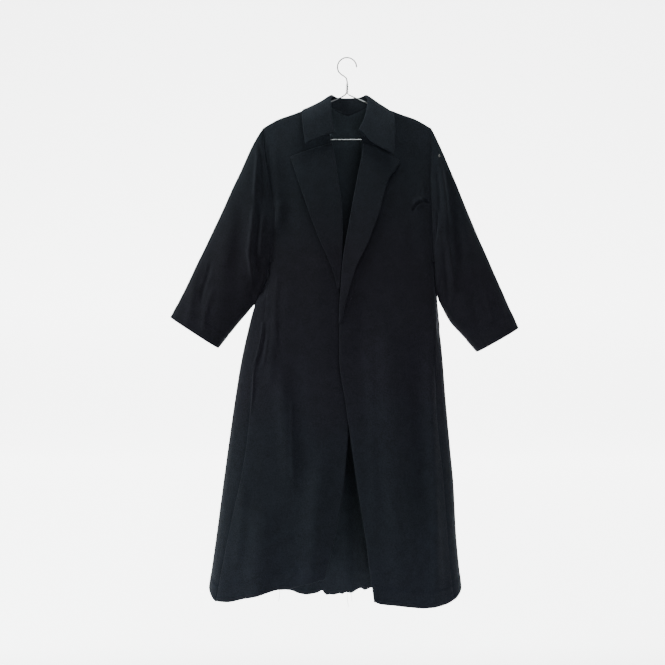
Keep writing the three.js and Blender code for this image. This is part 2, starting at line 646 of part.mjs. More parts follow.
// ---- the hanger ---------------------------------------------------------------------
// One wire: the hook, its shank, round the triangle, and back to beside the shank.
function hanger() {
  const at = (x, z) => new THREE.Vector3(x, 0, z);
  const hook = steps(HOOK_STEPS).map((s) => {
    const turn = THREE.MathUtils.degToRad(HOOK_TURN * s);
    const centre = WIRE_RADIUS - HOOK_RADIUS;
    return at(HOOK_RADIUS * Math.cos(turn), centre + HOOK_RADIUS * Math.sin(turn));
  });
  const shank = [at(-10, -40.5), at(-3, -45), at(0, -52), at(0, -66), at(-0.5, NECK_APEX + 4)];
  const onShoulder = (x) => at(x, NECK_APEX - SHOULDER_FALL * Math.abs(x));
  const half = (sign) => [
    ...WIRE_SHOULDER.map((x) => onShoulder(sign * x)),
    ...WIRE_END.map((end) => at(sign * end.x, BAR_LEVEL + end.up)),
  ];
  const points = [
    ...hook,
    ...shank,
    onShoulder(-5),
    ...half(-1),
    at(0, BAR_LEVEL),
    ...half(1).reverse(),
    onShoulder(4.2),
  ];
  const path = new THREE.CatmullRomCurve3(points, false, 'centripetal');
  const wire = new THREE.Shape();
  wire.absarc(0, 0, WIRE_RADIUS, 0, 2 * Math.PI);
  return new THREE.ExtrudeGeometry(wire, { steps: 120, curveSegments: 4, extrudePath: path });
}

// ---- assembly -----------------------------------------------------------------------
const FINISH = {
  cloth: { color: 0x14161c, roughness: 0.88, metalness: 0 },
  wire: { color: 0xb9bcc0, roughness: 0.32, metalness: 1 },
};

const coat = new THREE.Group();
function add(name, geometry, finish = FINISH.cloth) {
  const mesh = new THREE.Mesh(geometry, new THREE.MeshStandardMaterial(finish));
  mesh.name = name;
  coat.add(mesh);
}

// The names say the wearer's side: the viewer's left is the wearer's right.
add('front_right', frontPanel('left', HEM_FRONT_LEFT));
add('front_left', frontPanel('right', HEM_FRONT_RIGHT));
add('back', backPanel());
add('sleeve_right', sleeve('left', SLEEVE_LEFT));
add('sleeve_left', sleeve('right', SLEEVE_RIGHT));
add('collar', collar());
add('lapel_right', lapel('left', LAPEL_LEFT));
add('lapel_left', lapel('right', LAPEL_RIGHT));
add('back_facing', backFacing());
add('pocket_welt_right', pocketWelt('left'));
add('pocket_welt_left', pocketWelt('right'));
add('hanger', hanger(), FINISH.wire);

export default coat;
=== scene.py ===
"""Open trench coat on a wire hanger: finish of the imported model, in metres, +Z up.

Forms are worked out in millimetres from short tables and made into meshes at the end.
"""
import math

import bpy
import numpy as np
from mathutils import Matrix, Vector, noise
from mathutils.bvhtree import BVHTree


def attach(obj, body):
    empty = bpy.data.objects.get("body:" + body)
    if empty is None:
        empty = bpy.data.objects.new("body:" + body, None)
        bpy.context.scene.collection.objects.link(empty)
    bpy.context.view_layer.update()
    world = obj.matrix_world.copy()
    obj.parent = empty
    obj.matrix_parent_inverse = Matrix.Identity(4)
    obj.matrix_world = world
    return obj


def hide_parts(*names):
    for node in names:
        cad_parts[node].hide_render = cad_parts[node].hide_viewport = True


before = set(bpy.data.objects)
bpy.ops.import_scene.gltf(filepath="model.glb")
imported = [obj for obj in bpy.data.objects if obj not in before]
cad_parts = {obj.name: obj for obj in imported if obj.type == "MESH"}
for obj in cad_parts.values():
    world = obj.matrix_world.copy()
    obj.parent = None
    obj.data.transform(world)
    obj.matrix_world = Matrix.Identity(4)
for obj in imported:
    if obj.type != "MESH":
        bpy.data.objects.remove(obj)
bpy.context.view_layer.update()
MM = 0.001
SIGN = {"left": -1, "right": 1}     # the viewer's sides along X

# ---- driving dimensions, millimetres -------------------------------------------------
CLOTH = 1.4
SECTION_POWER = 3
SHOULDER_TOP = -80
SHOULDER_FALL = 0.458
SHOULDER_CROWN = 5
CROWN_AT = 162
CROWN_WIDTH = 32
SHOULDER_PADDING = 5
RIDGE_RADIUS = 6
FRONT_FILL = 34
BACK_FILL = 20
NECK_HALF = 66
TIP_HALF = 196
UNDERARM = -477
SKIRT_TRUE = -1000
HEM_LEVEL = -1250
LAP_WIDTH = 60
HEM_TURN_UP = 38
SEAM_DIP = 0.8          # how deep the cloth sinks into a seam
SEAM_SPREAD = 4.0       # over what distance
SEAM_TUCK = 3.0         # how far a sleeve or the back runs on under the panel beside it
SLEEVE_JOIN = 0.3       # share of a sleeve's length in which it leaves the armhole's shape
SLEEVE_CROWDING = 1.3   # over 1 brings its rows closer together at the armhole
SLEEVE_POWER = 2.4      # roundness of a sleeve's sections
TUCK_DEPTH = 1.7        # how deep the tucked cloth lies
UNDERARM_CLOSING = 6.0  # how far a sleeve's inner side is brought towards the body
CLOSING_ENDS = {"left": 0.43, "right": 0.33}    # where that ends, as a share of the sleeve
LAP_STARTS = -430       # level below which the fronts overlap, reached over the fade
LAP_FADE = 120
LAP_DEPTH = {"left": -3.5, "right": 4.5}        # how far the upper front rises and the lower sinks
COLLAR_STATIONS = 190
COLLAR_ACROSS = 66
STAND_ACROSS = 26       # how many of the faces across the collar are its stand

# ---- camera --------------------------------------------------------------------------
CAMERA_AT = (-0.034, -1.35, -0.642)
VIEW_HALF_WIDTH = 0.778     # what the picture spans at the hanger, each side of its middle
SENSOR = 36.0


def table(names, *rows):
    """Rows of numbers as named columns, in rising order of the first."""
    rows = sorted(rows)
    return {name: np.array([row[i] for row in rows], float) for i, name in enumerate(names.split())}


def column(rows, name, at):
    """A smooth curve through one column that never overshoots its rows."""
    keys = next(iter(rows.values()))
    values = rows[name]
    at = np.asarray(at, float)
    step = np.diff(values) / np.diff(keys)
    slope = np.empty(len(keys))
    slope[0], slope[-1] = step[0], step[-1]
    both = step[:-1] * step[1:]
    total = np.where(both > 0, step[:-1] + step[1:], 1.0)
    slope[1:-1] = np.where(both > 0, 2 * both / total, 0.0)
    i = np.clip(np.searchsorted(keys, at) - 1, 0, len(keys) - 2)
    span = keys[i + 1] - keys[i]
    s = np.clip((at - keys[i]) / span, 0, 1)
    start = (1 + 2 * s) * (1 - s) ** 2 * values[i] + s * (1 - s) ** 2 * span * slope[i]
    end = s**2 * (3 - 2 * s) * values[i + 1] + s**2 * (s - 1) * span * slope[i + 1]
    return start + end


def smooth(s):
    c = np.clip(s, 0, 1)
    return c * c * (3 - 2 * c)


BODY = table(
    "z left right front back",
    (-100, -206, 206, 12, 14), (-200, -204, 206, 16, 13), (-300, -197, 205, 20, 12),
    (-400, -186, 203, 25, 12), (-477, -182, 204, 28, 12), (-520, -190, 206.5, 29, 12),
    (-552, -204, 209, 30, 12.5), (-578, -215.5, 211, 31, 13), (-640, -232, 217, 34, 13.5),
    (-712, -247.5, 223.5, 36, 14), (-802, -262, 230.5, 40, 15), (-907, -277, 240, 45, 16),
    (-992, -288.5, 248, 49, 16), (-1118, -305, 254.5, 56, 17), (-1280, -328, 271, 64, 17),
)
FRONT_EDGE = table(
    "z left right",
    (-110, -66, 66), (-150, -57, 54), (-200, -36, 32), (-242, -29, 31), (-318, -18, 18),
    (-400, -14, 5), (-470, -14, -6), (-541, -17, -14), (-620, -6, -18), (-700, 2, -18),
    (-800, 4, -4), (-859, 2, 4), (-981, -8, 21), (-1104, -24, 40), (-1177, -37, 49),
    (-1260, -54, 60),
)
FRONT_SIDE = table(
    "z left right",
    (-172, -196, 196), (-230, -190, 195), (-300, -178, 193), (-370, -167, 195),
    (-440, -171, 197), (-504, -178, 200), (-568, -187, 203), (-632, -194, 203),
    (-662, -198, 202.5), (-690, -204, 202), (-716, -212.5, 202), (-735, -217.5, 202),
    (-779, -219, 203), (-818, -222.5, 204), (-901, -231, 211),
    (-974, -243, 219), (-1056, -261, 225), (-1168, -284, 233), (-1280, -304, 246),
)
ARMHOLE_BACK = (
    (-172, 22), (-230, 25), (-300, 33), (-370, 36), (-420, 28), (-450, 12), (-465, -8),
)
HEM_FRONT_LEFT = table(
    "x z",
    (-328, -1238), (-310, -1247), (-297, -1252), (-273, -1250.5), (-230, -1238), (-200, -1229),
    (-185, -1224.5), (-155, -1217), (-125, -1213), (-98, -1204), (-50, -1195), (0, -1195),
)
HEM_FRONT_RIGHT = table(
    "x z",
    (0, -1236), (58, -1241.5), (72, -1246.5), (110, -1252.5), (140, -1257), (176, -1261),
    (200, -1259), (224, -1255.5), (245, -1248), (271, -1235),
)
HEM_BACK = table(
    "x z",
    (-328, -1224), (-321, -1233), (-312, -1244), (-300, -1253), (-280, -1257), (-200, -1253),
    (-160, -1252), (-135, -1252.5), (-112, -1260), (-95, -1263), (-70, -1259), (-57, -1252),
    (-51, -1263), (-44, -1264), (-38, -1260), (-30, -1262.5), (-22, -1258.5), (-10, -1261.5),
    (-2, -1257), (10, -1260), (20, -1254), (30, -1247.5), (35, -1246.5), (40, -1251),
    (47, -1249), (57, -1245), (70, -1247), (160, -1254), (224, -1255), (245, -1248.5),
    (258, -1239), (271, -1225),
)

# Folds in the plane of the coat: half width, height towards the eye, then the points
# (x, z) of the line it follows.
FRONT_FOLDS = {
    "left pocket drag": (12, 2, (-170, -640), (-178, -780)),
    "left ridge": (18, 4.5, (-156, -700), (-122, -1010)),
    "left trough": (24, -3.5, (-126, -660), (-92, -1050)),
    "left hem flute": (30, 9, (-190, -1010), (-205, -1300)),
    "left inner roll": (26, 8, (-60, -900), (-88, -1300)),
    "right ridge": (34, 9, (86, -560), (118, -1300)),
    "right trough": (24, -7, (150, -620), (172, -1100)),
    "right side ridge": (13, 7, (185, -640), (208, -1300)),
    "right chest drag": (9, 4, (150, -350), (182, -338)),
    "left chest drag": (12, 4, (-150, -330), (-172, -420)),
}
BACK_FOLDS = {
    "left flute": (34, 9, (-150, -560), (-200, -1300)),
    "inner left flute": (17, 9, (-46, -760), (-84, -1300)),
    "middle left flute": (11, -8, (-16, -820), (-34, -1300)),
    "middle flute": (11, 8, (6, -860), (12, -1300)),
    "middle right flute": (13, -8, (30, -800), (50, -1300)),
    "right flute": (32, 9, (110, -600), (150, -1300)),
    "left shoulder drag": (24, 4, (-150, -210), (-130, -520)),
    "right shoulder drag": (24, 4, (150, -210), (135, -500)),
}
# Hollows of the back where it wraps round to the front, below the arms.
SIDE_HOLLOWS = {
    "left underarm": (8, -8, (-183, -486), (-193, -535), (-199, -566)),
    "right underarm": (6, -6, (206, -486), (209, -540), (213, -600), (216, -680)),
}
# Smaller creases.
FRONT_CREASES = {
    "left armhole lip": (4.5, 3.2, (-191, -186), (-188, -225), (-185, -262), (-182, -310)),
    "left armhole drag": (9, 2.2, (-172, -200), (-150, -420)),
    "left chest hollow": (16, -2, (-140, -230), (-128, -470)),
    "left side tuck": (7, 1.4, (-160, -470), (-172, -700)),
    "left side hollow": (9, -0.6, (-148, -500), (-160, -740)),
    "left pocket tuck": (5, 1.2, (-166, -600), (-160, -690)),
    "left long crease": (5, 2, (-128, -780), (-122, -1000)),
    "left hem crease": (7, 1.8, (-182, -1118), (-118, -1092)),
    "left hem crease 2": (6, 1.8, (-140, -1196), (-112, -1168)),
    "left low ripple": (12, 2.4, (-232, -960), (-250, -1190)),
    "right hook line": (2.2, -4.6, (147, -368), (157, -351), (167, -342), (183, -339), (194, -346)),
    "right hook ridge": (4.5, 1.8, (146, -350), (160, -336), (176, -330), (192, -326)),
    "right armhole faint": (3.5, 1.8, (172, -290), (174, -302), (179, -328)),
    "left pocket edge": (2.8, 3.0, (-190.5, -596), (-193.5, -635), (-196.5, -661), (-202, -688),
                         (-209, -707), (-215, -732), (-217, -778), (-222, -840)),
    "left pocket valley": (3.2, -1.3, (-185, -604), (-188, -640), (-191, -664), (-196, -690),
                           (-202, -710), (-207, -740)),
    "left pocket second": (3.2, 1.5, (-182, -645), (-184, -664), (-189.5, -705), (-193, -725)),
    "left pocket low line": (3, -0.8, (-200, -740), (-203, -755), (-210, -787), (-213, -805)),
    "right chest hollow": (18, -2.2, (140, -220), (150, -520)),
    "right inner crease": (12, 2, (46, -640), (66, -1120)),
    "right long crease": (8, 1.8, (128, -700), (146, -1180)),
    "right hem ripple": (9, 2.4, (190, -1080), (196, -1300)),
    "right low drag": (9, 1.6, (88, -1010), (140, -1120)),
}
BACK_CREASES = {
    "left blade": (14, 2.4, (-120, -240), (-90, -470)),
    "right blade": (14, 2.4, (118, -230), (96, -480)),
    "left waist": (10, 2, (-70, -520), (-96, -800)),
    "right waist": (10, 2.2, (64, -540), (82, -860)),
    "left side tuck": (10, 2.4, (-206, -640), (-236, -1010)),
    "right side tuck": (10, 2.4, (196, -660), (214, -1040)),
    "left hem ripple": (11, 2.6, (-140, -1060), (-146, -1300)),
    "right hem ripple": (11, 2.6, (200, -1040), (210, -1300)),
    "middle drag": (20, -1.8, (-6, -260), (4, -560)),
}
SLEEVE_LEFT_FRONT = {
    "head ridge": (3.8, 1.2, (-199, -190), (-196, -215), (-191, -250), (-185, -308), (-179, -360)),
    "head valley": (4, -2.6, (-203, -200), (-200, -240), (-197, -310), (-192, -370)),
    "second ridge": (5, 4, (-211, -205), (-207.5, -240), (-212, -307), (-214, -350)),
    "long ridge": (6, 5, (-212, -330), (-218, -400), (-226, -462), (-218, -520), (-216, -550)),
    "gap": (7, -5, (-202, -330), (-207, -400), (-213, -460), (-207, -520)),
    "inner ridge": (5, 3.5, (-192, -360), (-198, -420), (-202, -480)),
    "underarm hollow": (11, -6, (-198, -455), (-208, -520), (-222, -580)),
    "outer hollow": (16, -3, (-236, -300), (-262, -540)),
    "lower ridge": (22, 3.2, (-268, -380), (-300, -640)),
    "elbow crease": (4.5, -2.4, (-312, -470), (-322, -510), (-334, -547), (-340, -590)),
    "elbow ridge": (6, 2.4, (-306, -530), (-312, -551), (-325, -588), (-335, -650)),
    "elbow hollow": (12, -1.6, (-326, -480), (-356, -600)),
    "cuff ripple": (10, 2, (-350, -520), (-372, -640)),
}
SLEEVE_RIGHT_FRONT = {
    "head ridge": (8, 4.6, (203, -222), (207.5, -236), (217.5, -265), (223.5, -318),
                   (226, -350), (231, -420)),
    "loop line": (2.8, -3.4, (199, -350), (206, -362), (207, -385), (204, -412), (201, -440)),
    "loop ridge": (4, 2.2, (213, -356), (215, -385), (212, -420)),
    "head valley": (13, -9, (222, -215), (236, -290), (246, -370), (262, -520)),
    "long ridge": (8, 5, (222, -400), (232, -450), (249, -560)),
    "outer ridge": (18, 2.6, (262, -330), (300, -560)),
    "seam valley": (5, -3.5, (206, -250), (212, -320), (214, -420)),
    "inner crease": (7, -3, (222, -430), (236, -600)),
    "elbow crease": (6, 2.2, (296, -470), (340, -640)),
    "elbow hollow": (12, -2.6, (280, -520), (312, -680)),
    "cuff ripple": (9, 2, (350, -540), (366, -650)),
}
SLEEVE_LEFT_BACK = {
    "back ridge": (12, 6, (-214, -230), (-238, -520)),
    "back valley": (10, -5, (-232, -240), (-262, -520)),
    "back crease": (12, 4, (-280, -380), (-330, -620)),
}
SLEEVE_RIGHT_BACK = {
    name: (width, rise, *((-x, z) for x, z in line))
    for name, (width, rise, *line) in SLEEVE_LEFT_BACK.items()
}
SLEEVE_LEFT = table(
    "t ox oz ix iz front back",
    (0, -199, -168, -194, -482, 24, 12), (0.15, -225, -212, -193, -516, 26, 13),
    (0.3, -249, -267, -206, -552, 26, 14), (0.4, -269.5, -310, -215.8, -575, 25, 14),
    (0.5, -289, -354, -227, -589, 24, 14), (0.7, -332.5, -446, -246, -611, 22, 13),
    (0.85, -370.5, -524, -272, -643, 20, 12), (1, -412, -606, -301, -678, 18, 12),
)
SLEEVE_RIGHT = table(
    "t ox oz ix iz front back",
    (0, 200, -168, 213, -481, 24, 12), (0.15, 226.5, -226, 210, -520, 26, 13),
    (0.3, 249, -279, 211, -552, 26, 14), (0.5, 284, -366, 226, -590, 24, 14),
    (0.7, 324.5, -461, 243, -620, 22, 13), (0.85, 360, -540, 272, -652, 20, 12),
    (1, 400, -631, 303, -687, 18, 12),
)
# Collar stations: neck seam, top of the fold and the leaf's edge, left front to right front.
COLLAR = table(
    "s nx ny nz fx fy fz ex ey ez",
    (0, -38, -22, -192, -30, -31, -186, -95, -38, -214),
    (1, -50, -15, -158, -38, -25, -137, -102, -32, -162),
    (2, -61, -4, -106, -39, -11, -104, -104, -15, -132),
    (3, -55, 6, -108, -34, 5, -86.5, -98, 5, -120),
    (4, -26, 12, -120.6, -18, 17, -88, -66, 24, -142),
    (5, 2, 13, -129.7, 3, 20, -88, 3, 26, -162),
    (6, 30, 12, -119.6, 26, 17, -88, 72, 24, -142),
    (7, 58, 6, -108, 43, 5, -86.5, 103, 5, -127),
    (8, 63, -4, -107, 49, -11, -106, 107, -15, -138),
    (9, 53, -15, -158, 42, -25, -146, 108, -32, -180),
    (10, 40, -22, -192, 27, -31, -180, 105, -38, -235),
)
LAPEL_LEFT = table(
    "v roll rollZ edge edgeZ",
    (0, -36, -205, -131, -236), (0.2, -25, -272, -113, -290), (0.45, -14.5, -356, -87, -366),
    (0.65, -13, -420, -65, -424), (0.88, -16, -500, -32, -502), (1, -17, -540, -22, -541),
)
LAPEL_RIGHT = table(
    "v roll rollZ edge edgeZ",
    (0, 39, -206, 124, -247), (0.08, 36, -232, 110, -268), (0.16, 29, -264, 94.5, -290),
    (0.4, 7, -382, 74, -362), (0.6, -9, -478, 47.5, -436), (0.72, -12.5, -524, 22, -488),
    (0.85, -16, -575, 0, -560), (1, -18, -620, -13, -616),
)


# ---- the body's faces ----------------------------------------------------------------
def fold_height(folds, x, z):
    """Sum of soft ridges and troughs, each along a line of points and fading at its ends."""
    x, z = np.broadcast_arrays(x, z)
    height = np.zeros(x.shape)
    for width, rise, *line in folds.values():
        line = np.array(line, float)
        step = np.diff(line, axis=0)
        length = np.hypot(step[:, 0], step[:, 1])
        start = np.concatenate([[0], np.cumsum(length)])
        nearest = np.full(x.shape, 1e9)
        along = np.zeros(x.shape)
        for (x0, z0), (dx, dz), span, before in zip(line, step, length, start):
            s = np.clip(((x - x0) * dx + (z - z0) * dz) / span**2, 0, 1)
            distance = np.hypot(x - x0 - dx * s, z - z0 - dz * s)
            closer = distance < nearest
            nearest = np.where(closer, distance, nearest)
            along = np.where(closer, before + s * span, along)
        along = along / start[-1]
        ease = smooth(along * 4) * smooth((1 - along) * 4)
        height += rise * ease * np.exp(-((nearest / width) ** 2))
    return height


def unevenness(x, z, seed, scale=70.0, height=1.0):
    """Soft, slightly irregular relief, stretched along the cloth's hang."""
    flat = np.broadcast_arrays(x, z)
    out = np.empty(flat[0].size)
    for i, (a, b) in enumerate(zip(flat[0].ravel(), flat[1].ravel())):
        broad = noise.noise(Vector((a / scale, b / (2.4 * scale), seed)))
        fine = noise.noise(Vector((2.3 * a / scale, b / scale, seed + 7.0)))
        out[i] = broad + 0.4 * fine
    return height * out.reshape(flat[0].shape)


def shoulder_line(x):
    crown = SHOULDER_CROWN * np.exp(-(((np.abs(x) - CROWN_AT) / CROWN_WIDTH) ** 2))
    padding = SHOULDER_PADDING * smooth((np.abs(x) - NECK_HALF - 6) / 40)
    return SHOULDER_TOP - SHOULDER_FALL * np.abs(x) + crown + padding


def fill_out(below, depth, fill):
    turn = np.clip(below / RIDGE_RADIUS, 0, 1)
    ridge = RIDGE_RADIUS * np.sqrt(1 - (1 - turn) ** 2)
    rest = (depth - RIDGE_RADIUS) * (1 - np.exp(-np.maximum(0, below) / fill))
    return 0.15 + ridge + rest


def section(z):
    left, right = column(BODY, "left", z), column(BODY, "right", z)
    return (left + right) / 2, (right - left) / 2


def roundness(across):
    reach = np.minimum(0.9995, np.abs(across))
    return (1 - reach**SECTION_POWER) ** (1 / SECTION_POWER)


def seam_dip(distance):
    """How far the cloth sinks beside a seam, by the distance to it."""
    return SEAM_DIP * np.exp(-((distance / SEAM_SPREAD) ** 2))


def front_face(side, x, z, fine=True):
    middle, half = section(z)
    edge = column(FRONT_EDGE, side, z)
    inward = SIGN[side] * (x - edge) / LAP_WIDTH
    near = smooth(1 - inward) * smooth((LAP_STARTS - z) / LAP_FADE)
    lap = LAP_DEPTH[side] * near
    depth = fill_out(shoulder_line(x) - z, column(BODY, "front", z), FRONT_FILL)
    depth = depth * roundness((x - middle) / half) + lap + fold_height(FRONT_FOLDS, x, z)
    if fine:
        near_top = smooth((shoulder_line(x) - z - 10) / 60)
        depth = depth + near_top * fold_height(FRONT_CREASES, x, z)
        depth = depth + near_top * unevenness(x, z, 3.0 if side == "right" else 11.0)
    return -depth


def back_face(angle, z, fine=True):
    """Point of the back by the angle round its section: 0 left side, 180 right side."""
    middle, half = section(z)
    turn = np.radians(angle)
    power = 2 / SECTION_POWER
    x = middle - half * np.sign(np.cos(turn)) * np.abs(np.cos(turn)) ** power
    bulge = np.abs(np.sin(turn)) ** power
    depth = fill_out(shoulder_line(x) - z, column(BODY, "back", z), BACK_FILL)
    depth = depth + fold_height(BACK_FOLDS, x, z)
    if fine:
        near_top = smooth((shoulder_line(x) - z - 10) / 60)
        relief = fold_height(BACK_CREASES, x, z) + unevenness(x, z, 23.0)
        depth = depth + near_top * relief
    behind = depth * bulge
    left, right = front_face("left", x, z, fine), front_face("right", x, z, fine)
    before = np.where(np.cos(turn) > 0, left, right)
    if fine:
        before = before - fold_height(SIDE_HOLLOWS, x, z)
    return x, np.where(np.sin(turn) >= 0, behind, before)


def seam_angle(side, z):
    middle, half = section(z)
    across = np.abs(column(FRONT_SIDE, side, z) - middle) / half
    return -np.degrees(np.arccos(np.minimum(1, across) ** (SECTION_POWER / 2)))


def back_edge(side, z):
    """The back's edge as an angle: the armhole, then the side seam."""
    clearance = np.degrees(0.3 / section(z)[1])
    seam = seam_angle(side, np.minimum(z, UNDERARM)) + clearance
    last = float(seam_angle(side, UNDERARM))
    armhole = table("z angle", *ARMHOLE_BACK, (UNDERARM, last))
    return np.where(z <= UNDERARM, seam, column(armhole, "angle", z))


def shown_level(level, hem, x):
    drop = (level - SKIRT_TRUE) / (HEM_LEVEL - SKIRT_TRUE)
    low = SKIRT_TRUE + drop * (column(hem, "z", x) - SKIRT_TRUE)
    return np.where(level > SKIRT_TRUE, level, low)


def leaning(level, inner_top, top):
    """Rows run along the slanted shoulder at the top and are level from the underarm down."""
    down = (inner_top - level) / (inner_top - UNDERARM)
    return np.where(level <= UNDERARM, level, top + (UNDERARM - top) * down)


def row_levels(top, rows):
    """Row heights, closer together over the shoulder."""
    s = np.linspace(0, 1, rows)
    near = np.array([0, 0.5, 1.2, 2.2, 3.5, 5, 7, 10, 13])
    return np.concatenate([top - near, top - 13 + (HEM_LEVEL - top + 13) * s[1:]])


# ---- meshes --------------------------------------------------------------------------
def grid_normals(grid, closed):
    down = np.gradient(grid, axis=0)
    if closed:
        across = np.roll(grid, -1, axis=1) - np.roll(grid, 1, axis=1)
    else:
        across = np.gradient(grid, axis=1)
    normal = np.cross(down, across)
    length = np.linalg.norm(normal, axis=2, keepdims=True)
    return normal / np.maximum(length, 1e-9)


def lengths(grid):
    """Running lengths across and down a grid, in metres, for the weave to follow."""
    across = np.linalg.norm(np.diff(grid, axis=1), axis=2)
    down = np.linalg.norm(np.diff(grid, axis=0), axis=2)
    u = np.concatenate([np.zeros((grid.shape[0], 1)), np.cumsum(across, axis=1)], axis=1)
    v = np.concatenate([np.zeros((1, grid.shape[1])), np.cumsum(down, axis=0)], axis=0)
    u = u - u.mean(axis=1, keepdims=True)
    return np.stack([u, v], axis=2) * MM


def shell(name, grid, inward, material, closed=False, thickness=CLOTH, normals=None, lit_inside=None):
    """A closed piece of cloth: the grid is its outer face, and its rims are rounded."""
    if normals is None:
        normals = grid_normals(grid, closed)
    rows, columns = grid.shape[:2]
    inner = grid + normals * inward * thickness
    outer_index = np.arange(rows * columns).reshape(rows, columns)
    inner_index = outer_index + rows * columns
    points = [grid.reshape(-1, 3), inner.reshape(-1, 3)]
    uv_grid = lengths(grid).reshape(-1, 2)
    uvs = [uv_grid, uv_grid]
    if closed:
        outer_index = np.concatenate([outer_index, outer_index[:, :1]], axis=1)
        inner_index = np.concatenate([inner_index, inner_index[:, :1]], axis=1)
    faces = []

    def quads(a, flip):
        q = np.stack([a[:-1, :-1], a[:-1, 1:], a[1:, 1:], a[1:, :-1]], axis=2).reshape(-1, 4)
        faces.append(q[:, ::-1] if flip else q)

    quads(outer_index, inward > 0)
    quads(inner_index, inward < 0)
    count = 2 * rows * columns

    def rim(line_out, line_in, direction, flip):
        """A rounded edge between the two faces: one row of points pushed outwards."""
        nonlocal count
        flat = np.concatenate(points)
        bulge = (flat[line_out] + flat[line_in]) / 2 + direction * thickness * 0.4
        loop = closed and len(line_out) == columns + 1
        if loop:
            bulge = bulge[:-1]
        new = count + np.arange(len(bulge))
        count += len(bulge)
        points.append(bulge)
        uvs.append(np.concatenate(uvs)[line_out[: len(bulge)]])
        if loop:
            new = np.append(new, new[0])
        quads(np.stack([line_out, new, line_in]), flip)

    def edge_direction(row_a, row_b):
        d = row_a - row_b
        return d / np.maximum(np.linalg.norm(d, axis=1, keepdims=True), 1e-9)

    top = edge_direction(grid[0], grid[1])
    bottom = edge_direction(grid[-1], grid[-2])
    if closed:
        top = np.concatenate([top, top[:1]])
        bottom = np.concatenate([bottom, bottom[:1]])
    rim(outer_index[0], inner_index[0], top, inward < 0)
    rim(outer_index[-1], inner_index[-1], bottom, inward > 0)
    if not closed:
        first = edge_direction(grid[:, 0], grid[:, 1])
        last = edge_direction(grid[:, -1], grid[:, -2])
        rim(outer_index[:, 0], inner_index[:, 0], first, inward > 0)
        rim(outer_index[:, -1], inner_index[:, -1], last, inward < 0)
    piece = mesh_object(name, np.concatenate(points), np.concatenate(faces), material,
                        np.concatenate(uvs))
    # The inner faces can take a lighter copy of the cloth: painted light.
    if lit_inside is not None:
        piece.data.materials.append(lit_inside)
        finish = np.zeros(len(piece.data.polygons), int)
        finish[len(faces[0]) : len(faces[0]) + len(faces[1])] = 1
        piece.data.polygons.foreach_set("material_index", finish)
    return piece


def tube(path, radius, sides=6):
    """Points and faces of a thin closed tube along a path."""
    path = np.asarray(path, float)
    along = np.gradient(path, axis=0)
    along /= np.linalg.norm(along, axis=1, keepdims=True)
    aside = np.cross(along, np.array([0.31, 0.94, 0.17]))
    aside /= np.linalg.norm(aside, axis=1, keepdims=True)
    other = np.cross(along, aside)
    turn = np.arange(sides) / sides * 2 * np.pi
    ring = np.cos(turn)[None, :, None] * aside[:, None] + np.sin(turn)[None, :, None] * other[:, None]
    points = (path[:, None] + radius * ring).reshape(-1, 3)
    index = np.arange(len(path) * sides).reshape(-1, sides)
    after = np.roll(index, -1, axis=1)
    faces = np.stack([index[:-1], index[1:], after[1:], after[:-1]], axis=2).reshape(-1, 4).tolist()
    return points, [*faces, index[0].tolist(), index[-1][::-1].tolist()]


def tubes(name, paths, radius, material, sides=6):
    points, faces = [], []
    for path in paths:
        new_points, new_faces = tube(path, radius, sides)
        faces += [[corner + len(points) for corner in face] for face in new_faces]
        points += new_points.tolist()
    return mesh_object(name, points, faces, material)


def stitch_paths(line, outward, pitch=5.2, length=3.4, proud=0.25):
    """Short raised dashes, evenly spaced along a line on the cloth."""
    run = np.concatenate([[0], np.cumsum(np.linalg.norm(np.diff(line, axis=0), axis=1))])
    paths = []
    for start in np.arange(3, run[-1] - length - 3, pitch):
        at = start + length * np.array([0, 0.25, 0.75, 1])
        spot = np.stack([np.interp(at, run, line[:, k]) for k in range(3)], axis=1)
        rise = np.stack([np.interp(at, run, outward[:, k]) for k in range(3)], axis=1)
        paths.append(spot + rise * proud * np.array([[-0.6], [1], [1], [-0.6]]))
    return paths


def stitch_row(grid, outward, above, closed=False):
    """Stitches all along a hem, where its turned-up cloth ends."""
    line, out = (line_in_grid(g, above, HEM_TURN_UP) for g in (grid, outward))
    if closed:
        line, out = (np.append(a, a[:1], axis=0) for a in (line, out))
    else:
        line, out = line[1:-1], out[1:-1]
    STITCHES.extend(stitch_paths(line, out))


def line_in_grid(grid, value, wanted):
    """Where a value that changes down each column of a grid reaches the wanted one."""
    line = []
    for c in range(grid.shape[1]):
        order = np.argsort(value[:, c])
        line.append([np.interp(wanted, value[order, c], grid[order, c, k]) for k in range(3)])
    return np.array(line)


def new_object(name, data):
    obj = bpy.data.objects.new(name, data)
    bpy.context.scene.collection.objects.link(obj)
    return obj


def mesh_object(name, points, faces, material, uvs=None):
    mesh = bpy.data.meshes.new(name)
    faces = faces.tolist() if isinstance(faces, np.ndarray) else faces
    mesh.from_pydata((np.asarray(points) * MM).tolist(), [], faces)
    mesh.validate()
    if uvs is not None:
        layer = mesh.uv_layers.new(name="cloth")
        corners = np.empty(len(mesh.loops), int)
        mesh.loops.foreach_get("vertex_index", corners)
        layer.data.foreach_set("uv", np.asarray(uvs)[corners].ravel())
    mesh.polygons.foreach_set("use_smooth", [True] * len(mesh.polygons))
    mesh.materials.append(material)
    obj = new_object(name, mesh)
    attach(obj, "root")
    return obj


# ---- materials -----------------------------------------------------------------------
def new_material(name):
    """A material, and a function that adds nodes to it."""
    material = bpy.data.materials.new(name)
    material.use_nodes = True
    tree = material.node_tree
    tree.nodes.clear()

    def node(kind, inputs=None, **settings):
        made = tree.nodes.new(kind)
        for key, value in settings.items():
            setattr(made, key, value)
        for key, value in (inputs or {}).items():
            if isinstance(value, bpy.types.NodeSocket):
                tree.links.new(value, made.inputs[key])
            else:
                made.inputs[key].default_value = value
        return made

    return material, node


